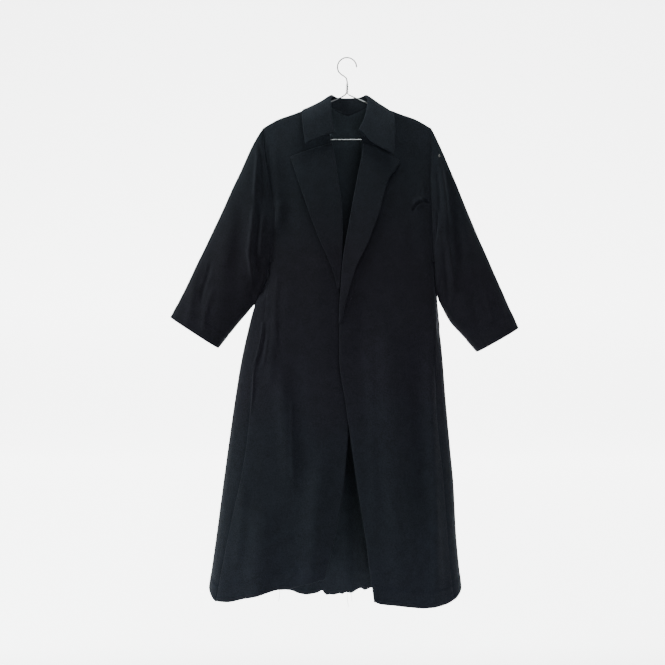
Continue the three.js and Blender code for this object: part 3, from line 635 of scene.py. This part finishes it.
def principled(node, inputs):
    shader = node("ShaderNodeBsdfPrincipled", inputs)
    node("ShaderNodeOutputMaterial", {"Surface": shader.outputs["BSDF"]})
    return shader


def ramp(node, factor, *stops):
    made = node("ShaderNodeValToRGB", {"Fac": factor})
    while len(made.color_ramp.elements) < len(stops):
        made.color_ramp.elements.new(0.5)
    for element, (place, colour) in zip(made.color_ramp.elements, stops):
        element.position = place
        element.color = (*colour, 1)
    return made.outputs["Color"]


THREAD_PITCH = 0.0009       # metres between neighbouring twill lines


# Painted light and shade on the cloth by height, hem to shoulders, with a colour cast: share of the
# height and colour.
HEIGHT_SHADE_TINT = (
    (0.02, (0.96, 1.04, 1.16)), (0.16, (0.82, 0.93, 0.96)), (0.32, (0.82, 0.84, 0.90)),
    (0.42, (0.88, 0.72, 0.84)), (0.66, (0.66, 0.47, 0.58)), (0.84, (0.56, 0.62, 0.66)),
    (0.97, (0.84, 0.97, 0.98)),
)


def coat_material(name, dark, light):
    """Matt blue-black twill: fine diagonal weave, faint mottling, a little sheen and painted light
    and shade by height.
    """
    material, node = new_material(name)
    place = node("ShaderNodeUVMap", uv_map="cloth").outputs["UV"]
    split = node("ShaderNodeSeparateXYZ", {"Vector": place})
    across, down = split.outputs["X"], split.outputs["Y"]
    diagonal = node("ShaderNodeMath", {0: across, 1: down}, operation="ADD").outputs[0]
    turns = 2 * math.pi / THREAD_PITCH

    def wave(of, rate):
        scaled = node("ShaderNodeMath", {0: of, 1: rate}, operation="MULTIPLY").outputs[0]
        return node("ShaderNodeMath", {0: scaled}, operation="SINE").outputs[0]

    twill = wave(diagonal, turns)
    yarn = wave(across, turns * 1.7)
    weave = node("ShaderNodeMath", {0: yarn, 1: 0.35, 2: twill}, operation="MULTIPLY_ADD")
    object_place = node("ShaderNodeTexCoord").outputs["Object"]
    mottle = node("ShaderNodeTexNoise", {"Vector": object_place, "Scale": 38.0, "Detail": 5.0,
                                         "Roughness": 0.65})
    slub = node("ShaderNodeTexNoise", {"Vector": object_place, "Scale": 420.0, "Detail": 3.0})
    faint = node("ShaderNodeMath", {0: mottle.outputs["Fac"], 1: 0.45}, operation="MULTIPLY")
    blend = node("ShaderNodeMath", {0: slub.outputs["Fac"], 1: 1.3, 2: faint.outputs[0]},
                 operation="MULTIPLY_ADD")
    yarn_colour = ramp(node, blend.outputs[0], (0.72, dark), (1.02, light))
    # Painted light and shade by height: the yarn colour is multiplied by a ramp over the height,
    # wobbled by a broad noise.
    height = node("ShaderNodeSeparateXYZ", {"Vector": object_place}).outputs["Z"]
    drift = node("ShaderNodeTexNoise", {"Vector": object_place, "Scale": 5.0, "Detail": 3.0})
    wandering = node("ShaderNodeMath", {0: drift.outputs["Fac"], 1: 0.25, 2: height},
                     operation="MULTIPLY_ADD")
    up = node("ShaderNodeMapRange", {"Value": wandering.outputs[0], "From Min": -1.12,
                                     "From Max": 0.0})
    tint = ramp(node, up.outputs["Result"], *HEIGHT_SHADE_TINT)
    colour = node("ShaderNodeMix", {"Factor": 1.0, "A": yarn_colour, "B": tint},
                  data_type="RGBA", blend_type="MULTIPLY").outputs["Result"]
    relief = node("ShaderNodeMath", {0: slub.outputs["Fac"], 1: 1.2, 2: weave.outputs[0]},
                  operation="MULTIPLY_ADD")
    bump = node("ShaderNodeBump", {"Height": relief.outputs[0], "Strength": 0.35,
                                   "Distance": 0.00025})
    shader = principled(node, {
        "Base Color": colour, "Roughness": 0.86, "Normal": bump.outputs["Normal"],
        "Sheen Weight": 0.05, "Sheen Roughness": 0.45, "Specular IOR Level": 0.12,
    })
    shader.inputs["Sheen Tint"].default_value = (0.75, 0.82, 1.0, 1)
    return material


def wire_material():
    """Bright drawn steel wire, finely scratched along its length."""
    material, node = new_material("hanger_wire_finish")
    place = node("ShaderNodeTexCoord").outputs["Object"]
    grain = node("ShaderNodeTexNoise", {"Vector": place, "Scale": 260.0, "Detail": 6.0})
    tint = ramp(node, grain.outputs["Fac"], (0.3, (0.08, 0.08, 0.08)), (0.75, (0.16, 0.157, 0.154)))
    rough = node("ShaderNodeMapRange", {"Value": grain.outputs["Fac"], "To Min": 0.18,
                                        "To Max": 0.42})
    bump = node("ShaderNodeBump", {"Height": grain.outputs["Fac"], "Strength": 0.15,
                                   "Distance": 0.0002})
    principled(node, {
        "Base Color": tint, "Metallic": 1.0, "Roughness": rough.outputs["Result"],
        "Normal": bump.outputs["Normal"],
    })
    return material


def backdrop_material():
    """White backdrop: it glows behind the coat, and not on the floor in front of it."""
    material, node = new_material("studio_paper")
    place = node("ShaderNodeTexCoord").outputs["Object"]
    depth = node("ShaderNodeSeparateXYZ", {"Vector": place}).outputs["Y"]
    glow = node("ShaderNodeMapRange", {"Value": depth, "From Min": -0.1, "From Max": 0.5,
                                       "To Max": 4.6}, interpolation_type="SMOOTHSTEP")
    principled(node, {
        "Base Color": (0.8, 0.8, 0.79, 1), "Roughness": 0.95,
        "Emission Color": (1, 1, 1, 1), "Emission Strength": glow.outputs["Result"],
    })
    return material


def thread_material(name, dark, light):
    """Soft spun thread with fine uneven fibres."""
    material, node = new_material(name)
    place = node("ShaderNodeTexCoord").outputs["Object"]
    fibre = node("ShaderNodeTexNoise", {"Vector": place, "Scale": 1400.0, "Detail": 3.0})
    bump = node("ShaderNodeBump", {"Height": fibre.outputs["Fac"], "Strength": 0.4,
                                   "Distance": 0.0002})
    principled(node, {
        "Base Color": ramp(node, fibre.outputs["Fac"], (0.35, dark), (0.7, light)),
        "Roughness": 0.9, "Normal": bump.outputs["Normal"],
    })
    return material


OUTER = coat_material("coat_cloth_face", (0.0034, 0.0038, 0.0056), (0.0076, 0.0085, 0.0120))
# Lighter copy of the cloth for the inside faces and the back facing: painted light.
INNER_LIT = coat_material("coat_cloth_inside_lit", (0.0098, 0.0110, 0.0136), (0.0150, 0.0168, 0.0205))
# A still lighter copy for the collar stand's face: painted light against the shade there.
STAND_LIT = coat_material("coat_cloth_stand_lit", (0.0130, 0.0146, 0.0180), (0.0198, 0.0222, 0.0270))
PALE_THREAD = thread_material("pale_thread", (0.30, 0.28, 0.26), (0.50, 0.47, 0.44))
WIRE = wire_material()


STITCHES = []       # paths of the stitches round hem and cuffs, gathered as the pieces are made


# ---- fronts and back -----------------------------------------------------------------
def hem_relief(above):
    """The turned-up hem: the doubled cloth is a little prouder, with a line of stitches."""
    doubled = 0.7 * smooth((HEM_TURN_UP - above) / 3)
    stitches = -0.6 * np.exp(-(((above - HEM_TURN_UP) / 1.6) ** 2))
    return doubled + stitches


def front_panel(name, side, hem, columns=100, rows=310):
    sign = SIGN[side]
    inner_top, outer_top = shoulder_line(NECK_HALF), shoulder_line(TIP_HALF)
    level = row_levels(inner_top, rows)[:, None]
    share = np.linspace(0, 1, columns)[None, :]
    outer_z = leaning(level, inner_top, outer_top)
    inner = column(FRONT_EDGE, side, level)
    turned = smooth((level - (-560 if side == "left" else -640)) / 40)
    inner = inner + sign * 2.5 * turned * smooth((-190 - level) / 10)
    outer_x = column(FRONT_SIDE, side, outer_z)
    outer = column(FRONT_SIDE, side, shown_level(outer_z, hem, outer_x)) - sign * 0.15
    x = inner + (outer - inner) * share
    top = shoulder_line(NECK_HALF + (TIP_HALF - NECK_HALF) * share)
    z = shown_level(leaning(level, inner_top, top), hem, x)

    def face(x, z):
        depth = -front_face(side, x, z)
        depth = depth - seam_dip(np.abs(column(FRONT_SIDE, side, z) - x))
        depth = depth - seam_dip(shoulder_line(x) - z) * smooth((np.abs(x) - 60) / 6)
        depth = depth + hem_relief(z - column(hem, "z", x))
        return np.stack([x, -depth, z], axis=2)

    grid = face(x, z)
    normals = grid_normals(grid, False)
    normals[0, :, 1] *= 0
    normals[0] /= np.linalg.norm(normals[0], axis=1, keepdims=True)
    inward = -SIGN[side]
    stitch_row(grid, -inward * normals, z - column(hem, "z", x))
    return shell(name, grid, inward, normals=normals, material=OUTER)


def back_panel(name, columns=210, rows=205):
    top, tip = shoulder_line(NECK_HALF), shoulder_line(TIP_HALF)
    level = row_levels(top, rows)[:, None]
    even = np.linspace(0, 1, columns)[None, :]
    share = even + 0.6 * np.sin(2 * np.pi * even) / (2 * np.pi)      # closer in the middle
    outer_z = leaning(level, top, tip)

    def edge_angle(side):
        x = column(FRONT_SIDE, side, outer_z)
        return back_edge(side, shown_level(outer_z, HEM_BACK, x))

    first, last = edge_angle("left"), 180 - edge_angle("right")
    angle = first + (last - first) * share
    flat_x, _ = back_face(angle, level, fine=False)
    line = shoulder_line(np.clip(np.abs(flat_x), NECK_HALF, TIP_HALF))
    dip = 22 * smooth(1 - np.abs(flat_x) / NECK_HALF) * smooth((level + 300) / 190)
    z = shown_level(leaning(level, top, line) - dip, HEM_BACK, flat_x)
    x, y = back_face(angle, z)
    grid = np.stack([x, y, z], axis=2)
    normals = grid_normals(grid, False)
    side_seam = seam_dip((angle - first) * 1.6) + seam_dip((last - angle) * 1.6)
    shoulder = seam_dip(shoulder_line(x) - z) * smooth((np.abs(x) - 60) / 6)
    relief = hem_relief(z - column(HEM_BACK, "z", x)) - side_seam - shoulder
    grid = grid - normals * relief[:, :, None]
    normals = grid_normals(grid, False)
    stitch_row(grid, -normals, z - column(HEM_BACK, "z", x))

    def tucked(angles, at):
        """One more column, running on under the front or the sleeve."""
        under_x, under_y = back_face(angles, z[:, at : at + 1 or None])
        under = np.stack([under_x, under_y, z[:, at : at + 1 or None]], axis=2)
        return under + normals[:, at : at + 1 or None] * TUCK_DEPTH

    reach = np.degrees(SEAM_TUCK / 200)
    grid = np.concatenate([tucked(first - reach, 0), grid, tucked(last + reach, -1)], axis=1)
    normals = grid_normals(grid, False)
    shoulder_row = np.abs(grid[0, :, 0]) > NECK_HALF - 1
    normals[0, shoulder_row, 1] = 0
    normals[0] /= np.linalg.norm(normals[0], axis=1, keepdims=True)
    return shell(name, grid, 1, normals=normals, material=OUTER, lit_inside=INNER_LIT)


# ---- sleeves -------------------------------------------------------------------------
def armhole_loop(side, turn):
    share = (1 - np.cos(turn * 2 * np.pi)) / 2
    z = shoulder_line(TIP_HALF) + (UNDERARM - shoulder_line(TIP_HALF)) * share
    sign = SIGN[side]
    front_x = column(FRONT_SIDE, side, z) + sign * 0.2
    front_y = front_face(side, front_x, z)
    angle = back_edge(side, z) - 0.5
    back_x, back_y = back_face(180 - angle if side == "right" else angle, z)
    before = turn <= 0.5
    return np.stack([np.where(before, front_x, back_x), np.where(before, front_y, back_y), z], -1)


def sleeve(name, side, rows_table, front_folds, back_folds, columns=150, rows=150):
    sign = SIGN[side]
    t = (np.linspace(0, 1, rows) ** SLEEVE_CROWDING)[:, None]
    turn = (np.arange(columns) / columns)[None, :]
    at = {key: column(rows_table, key, t) for key in ("ox", "oz", "ix", "iz", "front", "back")}
    closing = smooth(t / 0.03) * smooth((CLOSING_ENDS[side] - t) / 0.04)
    inner_x = at["ix"] - sign * UNDERARM_CLOSING * closing
    cos, sin = np.cos(turn * 2 * np.pi), np.sin(turn * 2 * np.pi)
    power = 2 / SLEEVE_POWER
    reach = np.sign(cos) * np.abs(cos) ** power
    bulge = np.abs(sin) ** power
    x = (at["ox"] + inner_x) / 2 + (at["ox"] - inner_x) / 2 * reach
    z = (at["oz"] + at["iz"]) / 2 + (at["oz"] - at["iz"]) / 2 * reach
    y = np.where(sin >= 0, -at["front"] * bulge, at["back"] * bulge)
    left = 1 - np.minimum(1, t / SLEEVE_JOIN)
    mix = (1 - left**3)[:, :, None]
    loop = armhole_loop(side, turn)
    grid = loop * (1 - mix) + np.stack([x, y, z], axis=2) * mix
    relief = np.where(
        sin >= 0,
        fold_height(front_folds, grid[:, :, 0], grid[:, :, 2]),
        fold_height(back_folds, grid[:, :, 0], grid[:, :, 2]),
    )
    relief = relief * np.abs(sin) ** 0.7 * smooth(t / 0.03)
    relief = relief + unevenness(grid[:, :, 0], grid[:, :, 2], 41.0, 60.0, 1.1) * smooth(t / 0.1)
    down = np.linalg.norm(grid - grid[-1], axis=2)
    relief = relief + hem_relief(down) - seam_dip(np.linalg.norm(grid - grid[0], axis=2))
    outward = grid_normals(grid, True) * -SIGN[side]
    grid = grid + outward * relief[:, :, None]
    stitch_row(grid, outward, down, closed=True)
    tucked = grid[0] - outward[0] * TUCK_DEPTH
    tucked[:, 0] -= sign * SEAM_TUCK
    tucked[:, 2] -= 0.5 * SEAM_TUCK * np.cos(turn[0] * 2 * np.pi)
    grid = np.concatenate([tucked[None], grid])
    return shell(name, grid, SIGN[side], closed=True, material=OUTER)


# ---- collar, lapels, facing, pockets -------------------------------------------------
def curve_through(points, count):
    """Catmull-Rom curves, one for each station, through stacked points."""
    points = [np.asarray(p, float) for p in points]
    first = 2 * points[0] - points[1]
    last = 2 * points[-1] - points[-2]
    full = [first, *points, last]
    out = []
    for u in np.linspace(0, len(points) - 1, count):
        i = min(int(u), len(points) - 2)
        s = u - i
        a, b, c, d = full[i : i + 4]
        out.append(0.5 * (2 * b + (c - a) * s + (2 * a - 5 * b + 4 * c - d) * s**2
                          + (3 * b - a - 3 * c + d) * s**3))
    return np.stack(out, axis=1)


def collar(name):
    s = np.linspace(0, 10, COLLAR_STATIONS)

    def at(letter):
        return np.stack([column(COLLAR, letter + axis, s) for axis in "xyz"], axis=1)

    neck, fold, edge = at("n"), at("f"), at("e")
    up = np.array([0, 0, 1.0])
    front = np.exp(-((s / 1.6) ** 2)) + np.exp(-(((10 - s) / 1.6) ** 2))
    lift = front[:, None] * np.array([0, -1.0, 0])
    side = (3.5 * np.exp(-((s - 3) ** 2)) + 1.2 * np.exp(-((s - 7) ** 2)))[:, None]
    sunk = np.exp(-(((10 - s) / 1.2) ** 2))[:, None]    # the right leaf lies on its lapel
    grid = curve_through([
        neck,
        neck + (fold - neck) * 0.72,
        fold,
        fold + (edge - fold) * 0.1 + up * 1.5 + lift,
        fold + (edge - fold) * 0.35 + up * (2 - 9 * sunk - side) + lift * 3,
        fold + (edge - fold) * 0.7 + up * (2 - 7 * sunk - side) + lift * 3,
        edge + lift * 2,
    ], COLLAR_ACROSS)
    grid[:, :, 1] += unevenness(grid[:, :, 0], grid[:, :, 2], 57.0, 38.0, 1.2)
    piece = shell(name, grid, 1, thickness=2.0, material=OUTER, lit_inside=STAND_LIT)
    shown = np.zeros(len(piece.data.polygons), int)     # the stand's face gets a lighter copy of the cloth: painted light against its shade
    along, across = COLLAR_STATIONS - 1, COLLAR_ACROSS - 1
    shown[: along * across].reshape(along, across)[:, :STAND_ACROSS] = 1
    piece.data.polygons.foreach_set("material_index", shown)
    return piece


def lapel(name, side, rows_table, columns=64, rows=170):
    sign = SIGN[side]
    v = np.linspace(0, 1, rows)[:, None]
    at = {key: column(rows_table, key, v) for key in ("roll", "rollZ", "edge", "edgeZ")}
    width = np.abs(at["edge"] - at["roll"])
    inside = 26                     # how far the facing goes back inside the front
    radius = 3.2
    turn_columns = 14
    back_columns = 8
    u = np.linspace(0, 1, columns - turn_columns - back_columns)[None, :]
    x = at["roll"] + (at["edge"] - at["roll"]) * u
    z = at["rollZ"] + (at["edgeZ"] - at["rollZ"]) * u
    if side == "right":
        z = z + 3.5 * np.sin(np.pi * u) * smooth(1 - v / 0.15)
    sag = np.sin(np.pi * u) * (1 - v)
    lifted = CLOTH + 2.2 + 3.0 * sag + 5.0 * u**2 * np.sin(np.pi * np.clip(v * 1.1, 0, 1)) ** 0.7
    y = front_face(side, x, z, fine=False) - lifted
    y = y + unevenness(x, z, 71.0, 45.0, 0.9)
    leaf = np.stack([x, y, z], axis=2)
    turn = np.linspace(math.pi, 0, turn_columns + 1)[None, :-1]
    start = leaf[:, :1]
    round_x = start[:, :, 0] - sign * radius * 0.6 * np.sin(turn)
    round_y = start[:, :, 1] + radius * (1 - np.cos(turn))
    roll = np.stack([round_x, round_y, np.broadcast_to(start[:, :, 2], round_x.shape)], axis=2)
    far = np.linspace(inside, 1, back_columns)[None, :]
    fade = np.minimum(1, width / inside + 0.15)
    back_x = start[:, :, 0] + sign * far * fade
    back_y = roll[:, :1, 1] + 0 * far
    back_z = np.broadcast_to(start[:, :, 2], back_x.shape)
    behind = np.stack([back_x, back_y, back_z], axis=2)
    grid = np.concatenate([behind, roll, leaf], axis=1)
    return shell(name, grid, -SIGN[side], thickness=1.6, material=OUTER)


def back_facing(name, columns=60, rows=110):
    half, bottom = 48, -340
    u = np.linspace(-half, half, columns)[None, :]
    v = np.linspace(0, 1, rows)[:, None]
    back = slice(3, 8)
    top = np.interp(u, COLLAR["nx"][back], COLLAR["nz"][back]) + 3.5
    seam_y = np.interp(u, COLLAR["nx"][back], COLLAR["ny"][back]) - 0.35
    z = top + (bottom - top) * v
    x = u + 0 * z
    middle, wide = section(z)
    depth = fill_out(shoulder_line(x) - z, column(BODY, "back", z), BACK_FILL)
    depth = depth * roundness((x - middle) / wide) + fold_height(BACK_FOLDS, x, z)
    depth = depth - CLOTH - 0.9 + unevenness(x, z, 83.0, 40.0, 0.3)
    depth = depth + (seam_y - depth) * smooth(1 - (top - z) / 14)
    grid = np.stack([x, depth, z], axis=2)
    return shell(name, grid, 1, thickness=0.6, material=INNER_LIT)


def pocket_welt(name, side, columns=20, rows=80):
    top, bottom, turn = -618, -742, 15
    v = np.linspace(0, 1, rows)[:, None]
    u = np.linspace(0, 1, columns)[None, :]
    z = top + (bottom - top) * v + 0 * u
    angle = back_edge(side, z) + 0.4 + turn * u
    x, y = back_face(180 - angle if side == "right" else angle, z)
    grid = np.stack([x, y, z], axis=2)
    inward = -SIGN[side]
    normals = grid_normals(grid, False)
    gape = 1.5 * np.sin(np.pi * v) ** 0.8 * (1 - u) ** 1.5 - 0.3 * smooth(u * 8 - 7) - 0.25
    grid = grid - normals * inward * gape[:, :, None]
    return shell(name, grid, inward, thickness=1.0, material=OUTER)


# ---- assembly ------------------------------------------------------------------------
# Every piece of cloth, by the node it stands for.
cloth = {
    "front_right": front_panel("front_right_cloth", "left", HEM_FRONT_LEFT),
    "front_left": front_panel("front_left_cloth", "right", HEM_FRONT_RIGHT),
    "back": back_panel("back_cloth"),
    "sleeve_right": sleeve("sleeve_right_cloth", "left", SLEEVE_LEFT, SLEEVE_LEFT_FRONT,
                           SLEEVE_LEFT_BACK),
    "sleeve_left": sleeve("sleeve_left_cloth", "right", SLEEVE_RIGHT, SLEEVE_RIGHT_FRONT,
                          SLEEVE_RIGHT_BACK),
    "collar": collar("collar_cloth"),
    "lapel_right": lapel("lapel_right_cloth", "left", LAPEL_LEFT),
    "lapel_left": lapel("lapel_left_cloth", "right", LAPEL_RIGHT),
    "back_facing": back_facing("back_facing_cloth"),
    "pocket_welt_right": pocket_welt("pocket_welt_right_cloth", "left"),
    "pocket_welt_left": pocket_welt("pocket_welt_left_cloth", "right"),
}
for node_name, piece in cloth.items():
    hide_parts(node_name)


def surface_y(node_name, x, z):
    """The nearest y to the eye of a piece of cloth at a place, all in millimetres."""
    mesh = cloth[node_name].data
    tree = BVHTree.FromPolygons([v.co for v in mesh.vertices], [p.vertices for p in mesh.polygons])
    hit = tree.ray_cast(Vector((x * MM, -1, z * MM)), Vector((0, 1, 0)))[0]
    return hit.y / MM


def loose_thread(node_name, x, top, length, drift, behind=False):
    """A thread end that hangs from the hem, curling a little."""
    s = np.linspace(0, 1, 14)
    start = surface_y(node_name, x, top + 2) + (CLOTH if behind else -0.3)
    curl = 0.9 * np.sin(s * 7 + x)
    return np.stack([x + drift * s**2 + curl * s, start + 0.6 * np.sin(5 * s), top - length * s], 1)


hem_stitches = tubes("hem_stitches", STITCHES, 0.24, OUTER, sides=5)
hem_threads = tubes("hem_threads", [
    loose_thread("front_right", -152, -1216, 26, -1.5),
    loose_thread("back", 1, -1254, 38, 2.0, behind=True),
    loose_thread("back", 10, -1257, 22, 3.0, behind=True),
], 0.35, OUTER)
spot_x, spot_z = 212.5, -232
turns = np.linspace(0, 2.3 * math.pi, 26)
spot_y = surface_y("sleeve_left", spot_x, spot_z) - 0.5
shoulder_thread = tubes("shoulder_thread", [np.stack([
    spot_x + 1.1 * np.cos(turns) + 0.2 * turns,
    spot_y - 0.3 * np.sin(2 * turns) + 0.4 * np.cos(turns),
    spot_z + 2.4 * np.sin(turns) - 0.4 * turns,
], 1)], 0.3, PALE_THREAD)

TWIST_TURNS, TWIST_RADIUS, TWIST_FROM, TWIST_HEIGHT, TWIST_WIRE = 4, 2.6, -85.5, 25, 0.85
turns = np.linspace(0, TWIST_TURNS * 2 * math.pi, 120)
away = TWIST_RADIUS + 1.6 * np.exp(-turns)
hanger_twist = tubes("hanger_twist", [np.stack([
    away * np.cos(turns), -away * np.sin(turns), TWIST_FROM + TWIST_HEIGHT * turns / turns[-1],
], 1)], TWIST_WIRE, WIRE, sides=8)

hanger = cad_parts["hanger"]
for slot in hanger.material_slots:
    slot.material = WIRE


# ---- room, light and camera ----------------------------------------------------------
def stage():
    floor_level, far, high, radius = -1.62, 4.2, 3.4, 1.2
    profile = [(-4.0, floor_level), (0.25, floor_level), (far - radius, floor_level)]
    for i in range(1, 13):
        turn = math.radians(90 * i / 12)
        profile.append((far - radius + radius * math.sin(turn),
                        floor_level + radius * (1 - math.cos(turn))))
    profile.append((far, high))
    points = [(x, y, z) for x in (-7.0, 7.0) for y, z in profile]
    n = len(profile)
    faces = [(i, i + 1, n + i + 1, n + i) for i in range(n - 1)]
    mesh = bpy.data.meshes.new("studio_sweep")
    mesh.from_pydata(points, [], faces)
    mesh.polygons.foreach_set("use_smooth", [True] * len(mesh.polygons))
    mesh.materials.append(backdrop_material())
    new_object("studio_sweep", mesh)


def light(name, place, aim, energy, size, colour):
    data = bpy.data.lights.new(name, "AREA")
    data.energy = energy
    data.color = colour
    data.size = size
    obj = new_object(name, data)
    obj.location = place
    obj.rotation_euler = (Vector(aim) - Vector(place)).to_track_quat("-Z", "Y").to_euler()


stage()
COAT_MIDDLE = (-0.02, 0.0, -0.65)
light("window", (-3.0, -0.75, 0.6), COAT_MIDDLE, 185, 1.5, (0.88, 1.0, 1.0))
light("sky", (0.5, -0.9, 2.3), (0, 0, -0.2), 85, 1.2, (0.9, 1.0, 1.0))
light("low", (0.8, -2.0, -1.4), (0.06, 0, -1.0), 19, 0.9, (0.9, 0.97, 1.1))
light("fill", (-0.6, -3.0, 0.0), COAT_MIDDLE, 6, 2.4, (1.0, 0.93, 1.0))

world = bpy.data.worlds.new("soft_room")
bpy.context.scene.world = world
world.use_nodes = True
world.node_tree.nodes["Background"].inputs["Color"].default_value = (0.93, 0.94, 0.95, 1)
world.node_tree.nodes["Background"].inputs["Strength"].default_value = 0.2

camera_data = bpy.data.cameras.new("camera")
camera_data.sensor_width = SENSOR
camera_data.lens = SENSOR / 2 * -CAMERA_AT[1] / VIEW_HALF_WIDTH
camera = new_object("camera", camera_data)
camera.location = CAMERA_AT
camera.rotation_euler = (math.pi / 2, 0, 0)
bpy.context.scene.camera = camera
